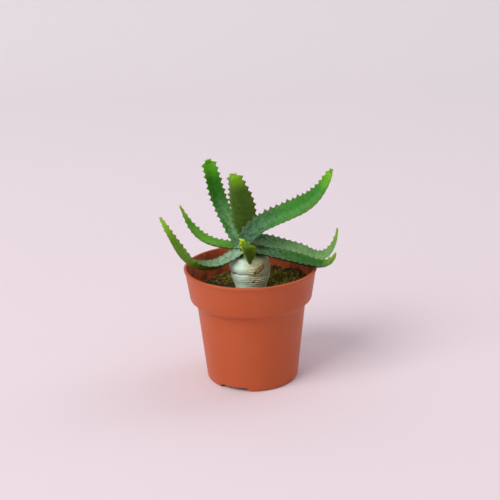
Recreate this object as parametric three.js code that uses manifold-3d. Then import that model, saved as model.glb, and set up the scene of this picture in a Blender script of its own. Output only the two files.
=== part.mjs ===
// Potted euphorbia: a plastic nursery pot, its mix and moss, and one plant with a swollen stem
// and eight toothed ribbon branches. Millimetres, +Z up. The origin is at the middle of the
// object's footprint, on the surface that the pot stands on.
import * as THREE from 'three';
import { mergeVertices } from 'three/addons/utils/BufferGeometryUtils.js';
import Module from 'manifold-3d';

const wasm = await Module();
wasm.setup();

// ---------------------------------------------------------------- driving dimensions

// Fits
const gap = 0.3;              // clearance between pieces that touch

// Pot
const potHeight = 49.1;
const rimRadius = 27.5;       // outside of the collar at its top
const wall = 0.8;
const lipBead = 0.35;         // how far the lip stands out of the collar
const lipHeight = 1.1;
const collarHeight = 13.2;
const collarTaper = 1.8;      // how much narrower the collar is at its foot
const shoulderDepth = 2.8;    // how far the wall steps in under the collar
const shoulderHeight = 2.2;
const baseRadius = 19.5;
const footCorner = 1.1;       // rounding of the bottom edge
const footWidth = 1.2;        // flat ring that the pot stands on
const footHeight = 2.0;       // recess under the floor
const notchCount = 3;
const notchWidth = 11.5;
const notchHeight = 1.8;
const notchSlope = 1.2;
const notchTurn = -114.5;     // direction of the first notch, degrees from +X
const notchMargin = 2;        // how far the notch's cutter runs past both sides of the foot
const drainRadius = 3.0;
const drainInset = 6.5;       // from the foot ring's inside to a hole's middle
const drainSides = 24;
const potSides = 72;

// Potting mix
const mixBelowRim = 10.1;     // rim to the mix around the stem
const mixTilt = 0.083;        // rise towards +X
const mixMound = 0.7;         // extra height at the back right
const moundPlace = [0.6, 0.5];  // its middle, in shares of the collar's foot radius
const moundReach = 0.6;       // its radius, in the same shares
const mixLump = 0.25;         // height of the small lumps
const lumpSpan = [1.6, 1.8, 2.5];  // their spacing: along X, along Y and across both
const lumpPhase = 1.3;
const mixSides = 48;
const mixRings = 7;

// Moss patches: direction from the stem, place between the stem (0) and the wall (1),
// two half sizes, height
const mossPatches = [
  { name: 'moss_right', turn: 38, place: 0.385, length: 4.6, width: 3.0, height: 1.1 },
  { name: 'moss_back', turn: 72, place: 0.715, length: 3.8, width: 2.6, height: 0.9 },
  { name: 'moss_front_right', turn: -42, place: 0.46, length: 4.2, width: 2.4, height: 0.8 },
];
const mossGap = 0.55;         // above the mix's own facets
const mossBelly = 0.2;        // share of that gap that a patch's underside hangs
const mossRipple = 0.25;

// Caudex: the swollen stem, with its taproot in the mix and its crown on top
const caudexRadius = 8.2;
const caudexWaist = 6.3;      // radius where it enters the mix
const caudexDome = 14.8;      // mix to the top of the dome
const rootClearance = 5.2;    // pot floor to the taproot's end
const rootTipRadius = 1.2;
const crownRadius = 3.8;
const crownRise = 7.2;        // dome to the top of the crown
const crownFoot = 0.6;        // dome to the foot of the crown
const crownFlare = 1.05;      // the foot's radius, as a share of the crown's
const crownLean = [-0.8, -0.5];
const leanStart = 3;          // the lean starts this far under the dome's top
const leanEnd = 2;            // and is complete this far over it
const caudexSides = 36;
const crownSteps = 6;

// The taproot's outline: share of the waist's radius, share of the root's length under the mix
const rootOutline = [[0.55, 0.6], [0.86, 0.28], [1, 0.03]];

// The stem's outline: share of caudexRadius, share of caudexDome over the mix
const domeOutline = [
  [0.845, 0.17], [0.96, 0.415], [1, 0.62], [0.95, 0.755], [0.78, 0.89], [0.58, 0.973],
];

// Branches: flat ribbons with a channelled upper face, a keeled underside and toothed margins
const toothPitch = 2.45;
const toothHeight = 0.9;
const fullToothHalf = 2;      // half width under which the teeth are smaller
const toothStart = 0.15;      // share of the length where the teeth have grown to full size
const marginLift = 0.25;      // shares of the half width: how far the margins stand up,
const marginEdge = 0.08;      // how thick they are,
const channelDepth = 0.08;    // how far the channel sinks,
const channelFoot = 0.5;      // where the channel's sides start,
const flankAcross = 0.62;     // where the flanks are,
const flankDrop = 0.5;        // and how far they hang, as a share of the keel
const coreDrop = 0.25;
const swellEnd = 0.35;        // share of the length where the root has grown to full width
const taperStart = 0.55;      // share of the length where the tip starts to narrow
const tipRounding = 1.6;      // length over which a tip closes
const rimClearance = 3.25;    // rim to the middle line of a branch that passes over it

// One row a branch. root is its start from the crown's middle. heading is the way it grows,
// in degrees from +X; rise is its slope; roll turns its upper face to the right-hand side.
// Each list is spread evenly from root to tip. ends are the root's and the tip's share of width,
// and teeth the size of the teeth on the left and the right margin. Where overRim is set, rise
// is counted from the straight line that leads from the branch's root to just over the rim.
const branches = [
  {
    name: 'branch_front_short', root: [0.6, -5.5, -6.7], heading: [264, 264], rise: [50, 54],
    roll: [-15, -22], length: 17, width: 5.8, ends: [0.2, 0.95], keel: 0.6, teeth: [0.8, 0.8],
  },
  {
    name: 'branch_right_upper', root: [-1.2, -2.5, 3.5], heading: [3, 6],
    rise: [60, 31, 22, 26, 50, 68], roll: [55, 60, 45], length: 47, width: 7.2,
    ends: [0.6, 0.46], keel: 0.6, teeth: [1, 0.3],
  },
  {
    name: 'branch_left_front', root: [-1.2, -2.5, 0.5], heading: [188, 186, 205],
    rise: [-31, -27, 10, 50, 62, 66], roll: [-20, 0, 24, 32], length: 47, width: 7.4,
    ends: [0.5, 0.35], keel: 0.6, teeth: [1, 1],
  },
  {
    name: 'branch_right_front', root: [1.3, -3.0, 0.3], heading: [356, 354, 350], overRim: true,
    rise: [-2.5, -2.5, -2.5, 3.5, 73.5], roll: [10, 10, 0], length: 36.8, width: 7.2,
    ends: [0.5, 0.6], keel: 0.6, teeth: [1, 1],
  },
  {
    name: 'branch_right_rear', root: [1.3, 2.2, 2.6], heading: [2, 3, 12], overRim: true,
    rise: [8, -2, -2.6, -5.4, 68, 100], roll: [14, 24, 6], length: 44.8, width: 6.8,
    ends: [0.6, 0.35], keel: 0.5, teeth: [0.7, 0.5],
  },
  {
    name: 'branch_left_rear', root: [-0.7, 1.0, 0.0], heading: [172, 150],
    rise: [2, 4, 22, 53, 62], roll: [-10, -6, 0], length: 35, width: 5.6,
    ends: [0.95, 0.34], keel: 0.6, teeth: [1, 1],
  },
  {
    name: 'branch_back_left', root: [-2.0, 1.7, 0.3], heading: [154, 136],
    rise: [46, 60, 65, 73, 70], roll: [-25, -45], length: 38, width: 5.4,
    ends: [0.6, 0.85], keel: 0.6, teeth: [1, 1],
  },
  {
    name: 'branch_back_centre', root: [-0.8, 1.5, 2.0], heading: [200, 190],
    rise: [84, 84, 79, 73], roll: [45, 55], length: 29, width: 10.4,
    ends: [0.5, 0.66], keel: 0.5, teeth: [1, 1],
  },
];

// ---------------------------------------------------------------- materials

const finish = (color, roughness) => new THREE.MeshStandardMaterial({ color, roughness, metalness: 0 });
const terracottaPlastic = finish(0xbf6040, 0.5);
const peat = finish(0x2b2219, 0.95);
const moss = finish(0x8a8a2e, 0.9);
const caudexBark = finish(0xc4dcc2, 0.6);
const branchSkin = finish(0x4f9440, 0.45);

// ---------------------------------------------------------------- helpers

const clamp = THREE.MathUtils.clamp;
const degrees = THREE.MathUtils.degToRad;
const smoothstep = THREE.MathUtils.smoothstep;

// A closed mesh with shared corners, without the slivers that a pole or a seam leaves.
function weld(geometry) {
  const bare = geometry.clone();
  bare.deleteAttribute('normal');
  bare.deleteAttribute('uv');
  const merged = mergeVertices(bare, 1e-4);
  const kept = [];
  for (let i = 0; i < merged.index.count; i += 3) {
    const corners = [0, 1, 2].map((k) => merged.index.getX(i + k));
    if (new Set(corners).size === 3) kept.push(...corners);
  }
  merged.setIndex(kept);
  return merged;
}

function toSolid(geometry) {
  const welded = weld(geometry);
  return new wasm.Manifold(new wasm.Mesh({
    numProp: 3,
    vertProperties: new Float32Array(welded.attributes.position.array),
    triVerts: new Uint32Array(welded.index.array),
  }));
}

function toGeometry(solid) {
  const mesh = solid.getMesh();
  const geometry = new THREE.BufferGeometry();
  geometry.setAttribute('position', new THREE.BufferAttribute(mesh.vertProperties, 3));
  geometry.setIndex(new THREE.BufferAttribute(mesh.triVerts, 1));
  return geometry;
}

// A profile of [radius, height] pairs turned about +Z.
function turned(profile, sides) {
  const points = profile.map(([radius, height]) => new THREE.Vector2(radius, height));
  return weld(new THREE.LatheGeometry(points, sides).rotateX(Math.PI / 2));
}

// Moves every vertex of a geometry by a rule.
function reshape(geometry, rule) {
  const position = geometry.attributes.position;
  const vertex = new THREE.Vector3();
  for (let i = 0; i < position.count; i += 1) {
    rule(vertex.fromBufferAttribute(position, i), i);
    position.setXYZ(i, vertex.x, vertex.y, vertex.z);
  }
  return geometry;
}

// A quarter of a circle from one corner to another, as [radius, height] pairs.
function quarterArc(centreRadius, centreHeight, size, from, steps) {
  return Array.from({ length: steps + 1 }, (_, i) => {
    const angle = degrees(from + (90 * i) / steps);
    return [centreRadius + size * Math.cos(angle), centreHeight + size * Math.sin(angle)];
  });
}

// Values spread evenly from 0 to 1, joined by a smooth curve.
function graded(values) {
  const spots = values.map((value, i) => new THREE.Vector2(i / (values.length - 1), value));
  const curve = new THREE.SplineCurve(spots);
  return (t) => curve.getPoint(clamp(t, 0, 1)).y;
}

// ---------------------------------------------------------------- pot

const collarFoot = potHeight - collarHeight;
const shoulderFoot = collarFoot - shoulderHeight;
const collarFootRadius = rimRadius - collarTaper;
const bodyTopRadius = collarFootRadius - shoulderDepth;
const floorTop = footHeight + wall;
const footOuter = baseRadius - footCorner;
const footInner = footOuter - footWidth;

// The inside of the wall, from the floor's edge to the lip.
const innerWall = [
  [baseRadius - wall, floorTop],
  [bodyTopRadius - wall, shoulderFoot + wall / 2],
  [collarFootRadius - wall, collarFoot + wall],
  [rimRadius - wall, potHeight - wall / 2],
];

function innerRadiusAt(height) {
  let radius = innerWall[0][0];
  for (let i = 1; i < innerWall.length; i += 1) {
    const [lowRadius, low] = innerWall[i - 1];
    const [highRadius, high] = innerWall[i];
    const share = clamp((height - low) / (high - low), 0, 1);
    radius += share * (highRadius - lowRadius);
  }
  return radius;
}

function footNotch(turn) {
  const half = notchWidth / 2;
  const outline = new THREE.Shape();
  outline.moveTo(-half - notchSlope, -notchMargin);
  outline.lineTo(half + notchSlope, -notchMargin);
  outline.lineTo(half, notchHeight);
  outline.lineTo(-half, notchHeight);
  outline.closePath();
  const start = footInner - notchMargin;
  const end = baseRadius + notchMargin;
  const block = new THREE.ExtrudeGeometry(outline, { depth: end - start, bevelEnabled: false });
  block.rotateX(Math.PI / 2);
  block.translate(0, end, 0);
  block.rotateZ(degrees(turn - 90));
  return block;
}

function drainHole(turn) {
  const hole = new THREE.CylinderGeometry(drainRadius, drainRadius, 4 * wall, drainSides);
  hole.rotateX(Math.PI / 2);
  hole.translate(0, footInner - drainInset, footHeight + wall / 2);
  hole.rotateZ(degrees(turn - 90));
  return hole;
}

function makePot() {
  const lipRadius = rimRadius + lipBead;
  const profile = [
    [0, footHeight],
    [footInner, footHeight],
    [footInner, 0],
    ...quarterArc(footOuter, footCorner, footCorner, -90, 4),
    [bodyTopRadius, shoulderFoot],
    [collarFootRadius, collarFoot],
    [rimRadius - collarTaper * (lipHeight / collarHeight), potHeight - lipHeight - lipBead],
    [lipRadius, potHeight - lipHeight],
    ...quarterArc(lipRadius - wall / 2, potHeight - wall / 2, wall / 2, 0, 3),
    ...[...innerWall].reverse(),
    [0, floorTop],
  ];
  let pot = toSolid(turned(profile, potSides));
  for (let i = 0; i < notchCount; i += 1) {
    const turn = notchTurn + (360 * i) / notchCount;
    pot = pot.subtract(toSolid(footNotch(turn))).subtract(toSolid(drainHole(turn)));
  }
  return toGeometry(pot);
}

// ---------------------------------------------------------------- caudex

const mixLevel = potHeight - mixBelowRim;
const rootLength = mixLevel - floorTop - rootClearance;
const domeTop = mixLevel + caudexDome;
const crownTop = domeTop + crownRise;
const crownMiddle = new THREE.Vector3(crownLean[0], crownLean[1], crownTop - crownRadius);

// The stem's outline, from the taproot's end to the crown, grown outwards by a clearance.
function caudexShape(clearance) {
  const rootEnd = mixLevel - rootLength - clearance;
  const body = [
    [0, rootEnd],
    [rootTipRadius, rootEnd],
    ...rootOutline.map(([share, depth]) => [caudexWaist * share, mixLevel - rootLength * depth]),
    ...domeOutline.map(([share, rise]) => [caudexRadius * share, mixLevel + caudexDome * rise]),
    [crownRadius * crownFlare, domeTop + crownFoot],
  ];
  const crown = Array.from({ length: crownSteps }, (_, i) => {
    const angle = degrees(90 * ((i + 1) / crownSteps));
    const lift = crownMiddle.z + (crownRadius + clearance) * Math.sin(angle);
    return [crownRadius * Math.cos(angle), lift];
  });
  const profile = [...body, ...crown].map(([radius, height]) => {
    const onAxis = radius < 1e-6;
    return [onAxis ? 0 : radius + clearance, height];
  });
  profile[profile.length - 1][0] = 0;
  return reshape(turned(profile, caudexSides), (vertex) => {
    const lean = smoothstep(vertex.z, domeTop - leanStart, domeTop + leanEnd);
    vertex.x += lean * crownLean[0];
    vertex.y += lean * crownLean[1];
  });
}

// ---------------------------------------------------------------- potting mix

function mixHeight(x, y) {
  const away = Math.hypot(x - collarFootRadius * moundPlace[0], y - collarFootRadius * moundPlace[1]);
  const mound = mixMound * (1 - smoothstep(away, 0, collarFootRadius * moundReach));
  const along = Math.sin(x / lumpSpan[0] + lumpPhase) * Math.cos(y / lumpSpan[1]);
  const across = Math.sin((x - y) / lumpSpan[2]);
  return mixLevel + mixTilt * x + mound + mixLump * (along + across);
}

function makeMix() {
  const wallSteps = innerWall.slice(0, 3).map(([radius, height]) => [radius - gap, height]);
  wallSteps[0][1] += gap;
  const rings = Array.from({ length: mixRings }, (_, i) => {
    const share = 1 - i / mixRings;
    return [share * (collarFootRadius - wall - gap), mixLevel];
  });
  const profile = [[0, floorTop + gap], ...wallSteps, ...rings, [0, mixLevel]];
  const plug = reshape(turned(profile, mixSides), (vertex) => {
    if (Math.abs(vertex.z - mixLevel) > 1e-3) return;
    const height = mixHeight(vertex.x, vertex.y);
    const radius = Math.hypot(vertex.x, vertex.y);
    const outer = collarFootRadius - wall - gap;
    const spread = (innerRadiusAt(height) - gap) / outer;
    const stretch = radius > outer - 1e-3 ? spread : 1;
    vertex.set(vertex.x * stretch, vertex.y * stretch, height);
  });
  return toGeometry(toSolid(plug).subtract(toSolid(caudexShape(gap))));
}

function makeMoss({ turn, place, length, width, height }) {
  const nearest = caudexWaist * crownFlare + gap + width;
  const furthest = innerRadiusAt(mixLevel) - gap - width;
  const distance = THREE.MathUtils.lerp(nearest, furthest, place);
  const middle = new THREE.Vector2(distance, 0).rotateAround(new THREE.Vector2(), degrees(turn));
  const pad = weld(new THREE.SphereGeometry(1, 18, 10).rotateX(Math.PI / 2));
  return reshape(pad, (vertex) => {
    const ripple = 1 + mossRipple * Math.sin(5 * vertex.x + 3 * vertex.y);
    const lift = Math.max(vertex.z, 0) * height * ripple;
    const spot = new THREE.Vector2(vertex.x * length, vertex.y * width);
    spot.rotateAround(new THREE.Vector2(), degrees(turn + 90)).add(middle);
    const floor = mixHeight(spot.x, spot.y) + mossGap;
    const belly = Math.min(vertex.z, 0) * mossGap * mossBelly;
    vertex.set(spot.x, spot.y, floor + lift + belly);
  });
}

// ---------------------------------------------------------------- branches

// The ten corners of a section: across and lift in half widths, and the side that they face.
// A cutter has its channel filled, so that nothing is left of what dips into it.
function sectionCorners(keel, isCutter) {
  const flank = -flankDrop * keel;
  const underMargin = marginLift - marginEdge;
  const channelSide = isCutter ? marginLift : 0;
  const channelFloor = isCutter ? marginLift : -channelDepth;
  return [
    { across: 1, lift: marginLift, facing: 1 },
    { across: 1, lift: underMargin, facing: -1 },
    { across: flankAcross, lift: flank, facing: -1 },
    { across: 0, lift: -keel, facing: -1 },
    { across: -flankAcross, lift: flank, facing: -1 },
    { across: -1, lift: underMargin, facing: -1 },
    { across: -1, lift: marginLift, facing: 1 },
    { across: -channelFoot, lift: channelSide, facing: 1 },
    { across: 0, lift: channelFloor, facing: 1 },
    { across: channelFoot, lift: channelSide, facing: 1 },
  ];
}

const sectionMiddle = { across: 0, lift: -coreDrop, facing: 0 };

// The slope of the straight line from a branch's root to just over the rim, in degrees.
function slopeToRim(start) {
  const drop = start.z - (potHeight + rimClearance);
  return -THREE.MathUtils.radToDeg(Math.atan2(drop, rimRadius - start.x));
}

// The middle line of a branch, with its across and upward directions, one entry a row.
function branchFrames({ root, heading, rise, roll, length, overRim }, rows) {
  const headingAt = graded(heading);
  const riseAt = graded(rise);
  const rollAt = graded(roll);
  const spot = crownMiddle.clone().add(new THREE.Vector3(...root));
  const baseSlope = overRim ? slopeToRim(spot) : 0;
  const frames = [];
  for (let row = 0; row <= rows; row += 1) {
    const t = row / rows;
    const turn = degrees(headingAt(t));
    const slope = degrees(baseSlope + riseAt(t));
    const forward = new THREE.Vector3(
      Math.cos(turn) * Math.cos(slope), Math.sin(turn) * Math.cos(slope), Math.sin(slope),
    );
    const across = new THREE.Vector3(Math.sin(turn), -Math.cos(turn), 0);
    across.applyAxisAngle(forward, degrees(rollAt(t)));
    const upward = across.clone().cross(forward);
    if (row > 0) {
      const step = forward.clone().add(frames[row - 1].forward).multiplyScalar(length / rows / 2);
      spot.add(step);
    }
    frames.push({ spot: spot.clone(), forward, across, upward });
  }
  return frames;
}

// A branch, or with a clearance the cutter that keeps others clear of it, its teeth in one edge.
function branchShape(branch, clearance) {
  const isCutter = clearance > 0;
  const teeth = Math.round(branch.length / toothPitch);
  const rows = teeth * 2;
  const frames = branchFrames(branch, rows);
  const corners = sectionCorners(branch.keel, isCutter);
  const sides = corners.length;
  const [rootShare, tipShare] = branch.ends;
  const blank = new THREE.CylinderGeometry(1, 1, rows, sides, rows);
  return weld(reshape(blank, (vertex) => {
    const row = Math.round(vertex.y + rows / 2);
    const t = row / rows;
    const { spot, forward, across, upward } = frames[row];
    const onAxis = Math.hypot(vertex.x, vertex.z) < 0.5;
    const corner = Math.round((Math.atan2(vertex.x, vertex.z) / (2 * Math.PI)) * sides + sides) % sides;
    const swell = rootShare + (1 - rootShare) * smoothstep(t, 0, swellEnd);
    const taper = 1 - (1 - tipShare) * smoothstep(t, taperStart, 1);
    const fromTip = branch.length * (1 - t);
    const closing = 0.5 + 0.5 * Math.sqrt(clamp(fromTip / tipRounding, 0, 1));
    const half = (branch.width / 2) * swell * taper * closing;
    const point = onAxis ? sectionMiddle : corners[corner];
    const side = Math.sign(point.across);
    const isTooth = Math.abs(point.across) === 1 && (isCutter || row % 2 === 1);
    const size = branch.teeth[side > 0 ? 1 : 0] * Math.min(1, half / fullToothHalf);
    const grown = smoothstep(t, 0, toothStart);
    const tooth = isTooth ? toothHeight * size * grown : 0;
    const sideways = point.across * half + side * (tooth + clearance);
    const upwards = point.lift * half + point.facing * clearance;
    vertex.copy(spot);
    vertex.addScaledVector(across, sideways).addScaledVector(upward, upwards);
    if (row === rows) vertex.addScaledVector(forward, clearance);
    if (row === 0) vertex.addScaledVector(forward, -clearance);
  }));
}

// Bases crowd together on the crown, so each branch is trimmed by the stem and by those before it.
function makeBranches() {
  const crown = toSolid(caudexShape(gap));
  return branches.map((branch, i) => {
    let solid = toSolid(branchShape(branch, 0)).subtract(crown);
    for (const earlier of branches.slice(0, i)) {
      solid = solid.subtract(toSolid(branchShape(earlier, gap)));
    }
    return { name: branch.name, geometry: toGeometry(solid) };
  });
}

// ---------------------------------------------------------------- assembly

const plant = new THREE.Group();

function addPart(name, geometry, material) {
  const mesh = new THREE.Mesh(geometry, material);
  mesh.name = name;
  plant.add(mesh);
}

addPart('pot', makePot(), terracottaPlastic);
addPart('potting_mix', makeMix(), peat);
for (const patch of mossPatches) addPart(patch.name, makeMoss(patch), moss);
addPart('caudex', caudexShape(0), caudexBark);
for (const { name, geometry } of makeBranches()) addPart(name, geometry, branchSkin);

const middle = new THREE.Box3().setFromObject(plant).getCenter(new THREE.Vector3());
plant.position.set(-middle.x, -middle.y, 0);

export default plant;
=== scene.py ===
"""A young euphorbia in a plastic nursery pot: its looks, built around the fixed frame.

Lengths in the sizes below are millimetres, and angles are degrees. Meshes are made in metres.
"""

import logging
import math
import random
from dataclasses import dataclass
from enum import Enum

import bmesh
import bpy
from mathutils import Matrix, Vector, noise


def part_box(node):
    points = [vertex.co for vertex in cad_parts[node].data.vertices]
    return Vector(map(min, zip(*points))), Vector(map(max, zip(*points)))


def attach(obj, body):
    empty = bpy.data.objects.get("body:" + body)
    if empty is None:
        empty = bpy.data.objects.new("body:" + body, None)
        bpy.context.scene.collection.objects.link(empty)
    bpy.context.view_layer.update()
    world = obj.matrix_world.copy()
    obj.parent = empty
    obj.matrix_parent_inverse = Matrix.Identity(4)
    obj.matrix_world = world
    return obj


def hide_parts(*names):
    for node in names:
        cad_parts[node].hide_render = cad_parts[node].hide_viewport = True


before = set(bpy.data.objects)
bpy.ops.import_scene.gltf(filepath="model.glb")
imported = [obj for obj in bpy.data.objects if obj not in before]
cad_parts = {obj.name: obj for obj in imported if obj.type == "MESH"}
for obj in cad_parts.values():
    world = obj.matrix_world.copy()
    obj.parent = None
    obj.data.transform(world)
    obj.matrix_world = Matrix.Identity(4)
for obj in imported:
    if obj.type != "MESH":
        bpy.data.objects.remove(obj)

LOG = logging.getLogger("euphorbia")
MM = 0.001
BODY = "root"
MERGE_DISTANCE = 1e-7

Colour = tuple[float, float, float, float]
GREY: Colour = (0.5, 0.5, 0.5, 1.0)


class Slot(str, Enum):
    """The record's material slots."""

    POT = "pot"
    MIX = "potting_mix"
    MOSS = "moss"
    CAUDEX = "caudex"
    BRANCH = "branch"


# ---------------------------------------------------------------- numbers and colours


def srgb(red: int, green: int, blue: int) -> Colour:
    """Turns a screen colour of 0 to 255 a channel into a linear one."""
    def channel(value: int) -> float:
        share = value / 255
        return share / 12.92 if share <= 0.04045 else ((share + 0.055) / 1.055) ** 2.4

    return channel(red), channel(green), channel(blue), 1.0


def clamp(value: float, low: float = 0.0, high: float = 1.0) -> float:
    """Keeps a value between two limits."""
    return max(low, min(high, value))


def smoothstep(value: float, low: float, high: float) -> float:
    """Rises smoothly from 0 at low to 1 at high."""
    share = clamp((value - low) / (high - low))
    return share * share * (3 - 2 * share)


def hill(value: float, middle: float, width: float) -> float:
    """A bell of height 1 about a middle."""
    return math.exp(-(((value - middle) / width) ** 2))


def curve(before: float, here: float, after: float, later: float, part: float) -> float:
    """Reads a smooth curve between two values, sloped by the values on either side.

    Args:
        before: The value before the stretch.
        here: The value where the stretch starts.
        after: The value where it ends.
        later: The value after the stretch.
        part: How far along the stretch to read, from 0 to 1.

    Returns:
        The curve's value there.
    """
    slope_in, slope_out = (after - before) / 2, (later - here) / 2
    cubic = (2 * here - 2 * after + slope_in + slope_out) * part**3
    square = (-3 * here + 3 * after - 2 * slope_in - slope_out) * part**2
    return cubic + square + slope_in * part + here


def graded(values: list[float], share: float) -> float:
    """Reads a smooth curve through values that are spread evenly from 0 to 1.

    Args:
        values: The values that the curve passes.
        share: Where to read it.

    Returns:
        The curve's value there.
    """
    last = len(values) - 1
    spot = last * clamp(share)
    step = min(int(spot), last)
    before, here = values[max(step - 1, 0)], values[step]
    after, later = values[min(step + 1, last)], values[min(step + 2, last)]
    return curve(before, here, after, later, spot - step)


# ---------------------------------------------------------------- mesh helpers


def object_from(bm: bmesh.types.BMesh, name: str, smooth: bool = True) -> bpy.types.Object:
    """Turns a finished bmesh into an object of the scene, and frees the bmesh.

    Args:
        bm: The mesh, in metres and in the shared frame.
        name: The object's name.
        smooth: Whether its faces are shaded smooth.

    Returns:
        The new object.
    """
    mesh = bpy.data.meshes.new(name)
    for face in bm.faces:
        face.smooth = smooth
    bm.to_mesh(mesh)
    bm.free()
    made = bpy.data.objects.new(name, mesh)
    bpy.context.scene.collection.objects.link(made)
    return made


def finish_piece(
    bm: bmesh.types.BMesh, name: str, replaced: list[str], faceted: bool = False
) -> bpy.types.Object:
    """Turns a finished bmesh into a piece of the object and fixes it to its body.

    Args:
        bm: The mesh, in metres and in the shared frame.
        name: The piece's name.
        replaced: The frame nodes that it stands for.
        faceted: Whether its faces stay flat.

    Returns:
        The new object.
    """
    piece = object_from(bm, name, smooth=not faceted)
    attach(piece, BODY)
    if replaced:
        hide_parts(*replaced)
    LOG.info("%s: %d faces for %s", name, len(piece.data.polygons), replaced or "no node")
    return piece


def turn_profile(points: list[tuple[float, float]], axis: Vector, steps: int) -> bmesh.types.BMesh:
    """Spins an open profile, whose ends lie on the axis, into a closed body.

    Args:
        points: Pairs of radius and height.
        axis: A point on the upright axis, in metres.
        steps: How many steps a full turn has.

    Returns:
        The body, with its faces pointing out.
    """
    bm = bmesh.new()
    verts = [bm.verts.new(axis + Vector((radius, 0, height)) * MM) for radius, height in points]
    edges = [bm.edges.new(pair) for pair in zip(verts, verts[1:])]
    bmesh.ops.spin(
        bm, geom=verts + edges, cent=axis, axis=(0, 0, 1), angle=math.tau, steps=steps, use_merge=True
    )
    bmesh.ops.remove_doubles(bm, verts=bm.verts, dist=MERGE_DISTANCE)
    bmesh.ops.recalc_face_normals(bm, faces=bm.faces)
    return bm


def arc(
    middle: tuple[float, float], radius: float, start: float, end: float, steps: int
) -> list[tuple[float, float]]:
    """Points on a round stretch of a profile, from one angle to another."""
    angles = [math.radians(start + (end - start) * i / steps) for i in range(steps + 1)]
    return [(middle[0] + radius * math.cos(a), middle[1] + radius * math.sin(a)) for a in angles]


def fine(points: list[tuple[float, float]], step: float) -> list[tuple[float, float]]:
    """Puts points along a profile's straight stretches so that none is longer than a step."""
    result = [points[0]]
    for (r0, z0), (r1, z1) in zip(points, points[1:]):
        count = max(1, math.ceil(math.hypot(r1 - r0, z1 - z0) / step))
        result += [(r0 + (r1 - r0) * i / count, z0 + (z1 - z0) * i / count) for i in range(1, count + 1)]
    return result


def extruded_ring(bm: bmesh.types.BMesh, ring: list[bmesh.types.BMVert]) -> list[bmesh.types.BMVert]:
    """Extrudes a closed ring of vertices by one row.

    Args:
        bm: The mesh.
        ring: The ring's vertices in order.

    Returns:
        The new row's vertices, in the same order and still in the same place.
    """
    edges = [bm.edges.get((vert, ring[i - 1])) for i, vert in enumerate(ring)]
    made = bmesh.ops.extrude_edge_only(bm, edges=edges)["geom"]
    order = {vert: i for i, vert in enumerate(ring)}
    row: list[bmesh.types.BMVert] = [None] * len(ring)
    for vert in (item for item in made if isinstance(item, bmesh.types.BMVert)):
        for edge in vert.link_edges:
            origin = edge.other_vert(vert)
            if origin in order:
                row[order[origin]] = vert
    return row


def fill_ring(bm: bmesh.types.BMesh, ring: list[bmesh.types.BMVert]) -> None:
    """Closes a ring of vertices with a face."""
    edges = [bm.edges.get((vert, ring[i - 1])) for i, vert in enumerate(ring)]
    bmesh.ops.edgeloop_fill(bm, edges=edges)


def add_cone(
    bm: bmesh.types.BMesh, middle: Vector, aim: Vector, radii: tuple[float, float], length: float, sides: int
) -> list[bmesh.types.BMVert]:
    """Adds a small closed cone.

    Args:
        bm: The mesh.
        middle: The place of its middle, in metres.
        aim: The way that it points.
        radii: Its radius at the foot and at the tip, in metres.
        length: Its length, in metres.
        sides: How many sides it has.

    Returns:
        Its vertices.
    """
    place = Matrix.Translation(middle) @ aim.to_track_quat("Z", "Y").to_matrix().to_4x4()
    made = bmesh.ops.create_cone(
        bm, cap_ends=True, segments=sides, radius1=radii[0], radius2=radii[1], depth=length, matrix=place
    )
    return made["verts"]


def paint(verts: list[bmesh.types.BMVert], *marks: tuple[object, float]) -> None:
    """Stores the same values on some vertices, given as pairs of layer and value."""
    for vert in verts:
        for layer, value in marks:
            vert[layer] = value


# ---------------------------------------------------------------- shader helpers


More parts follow.
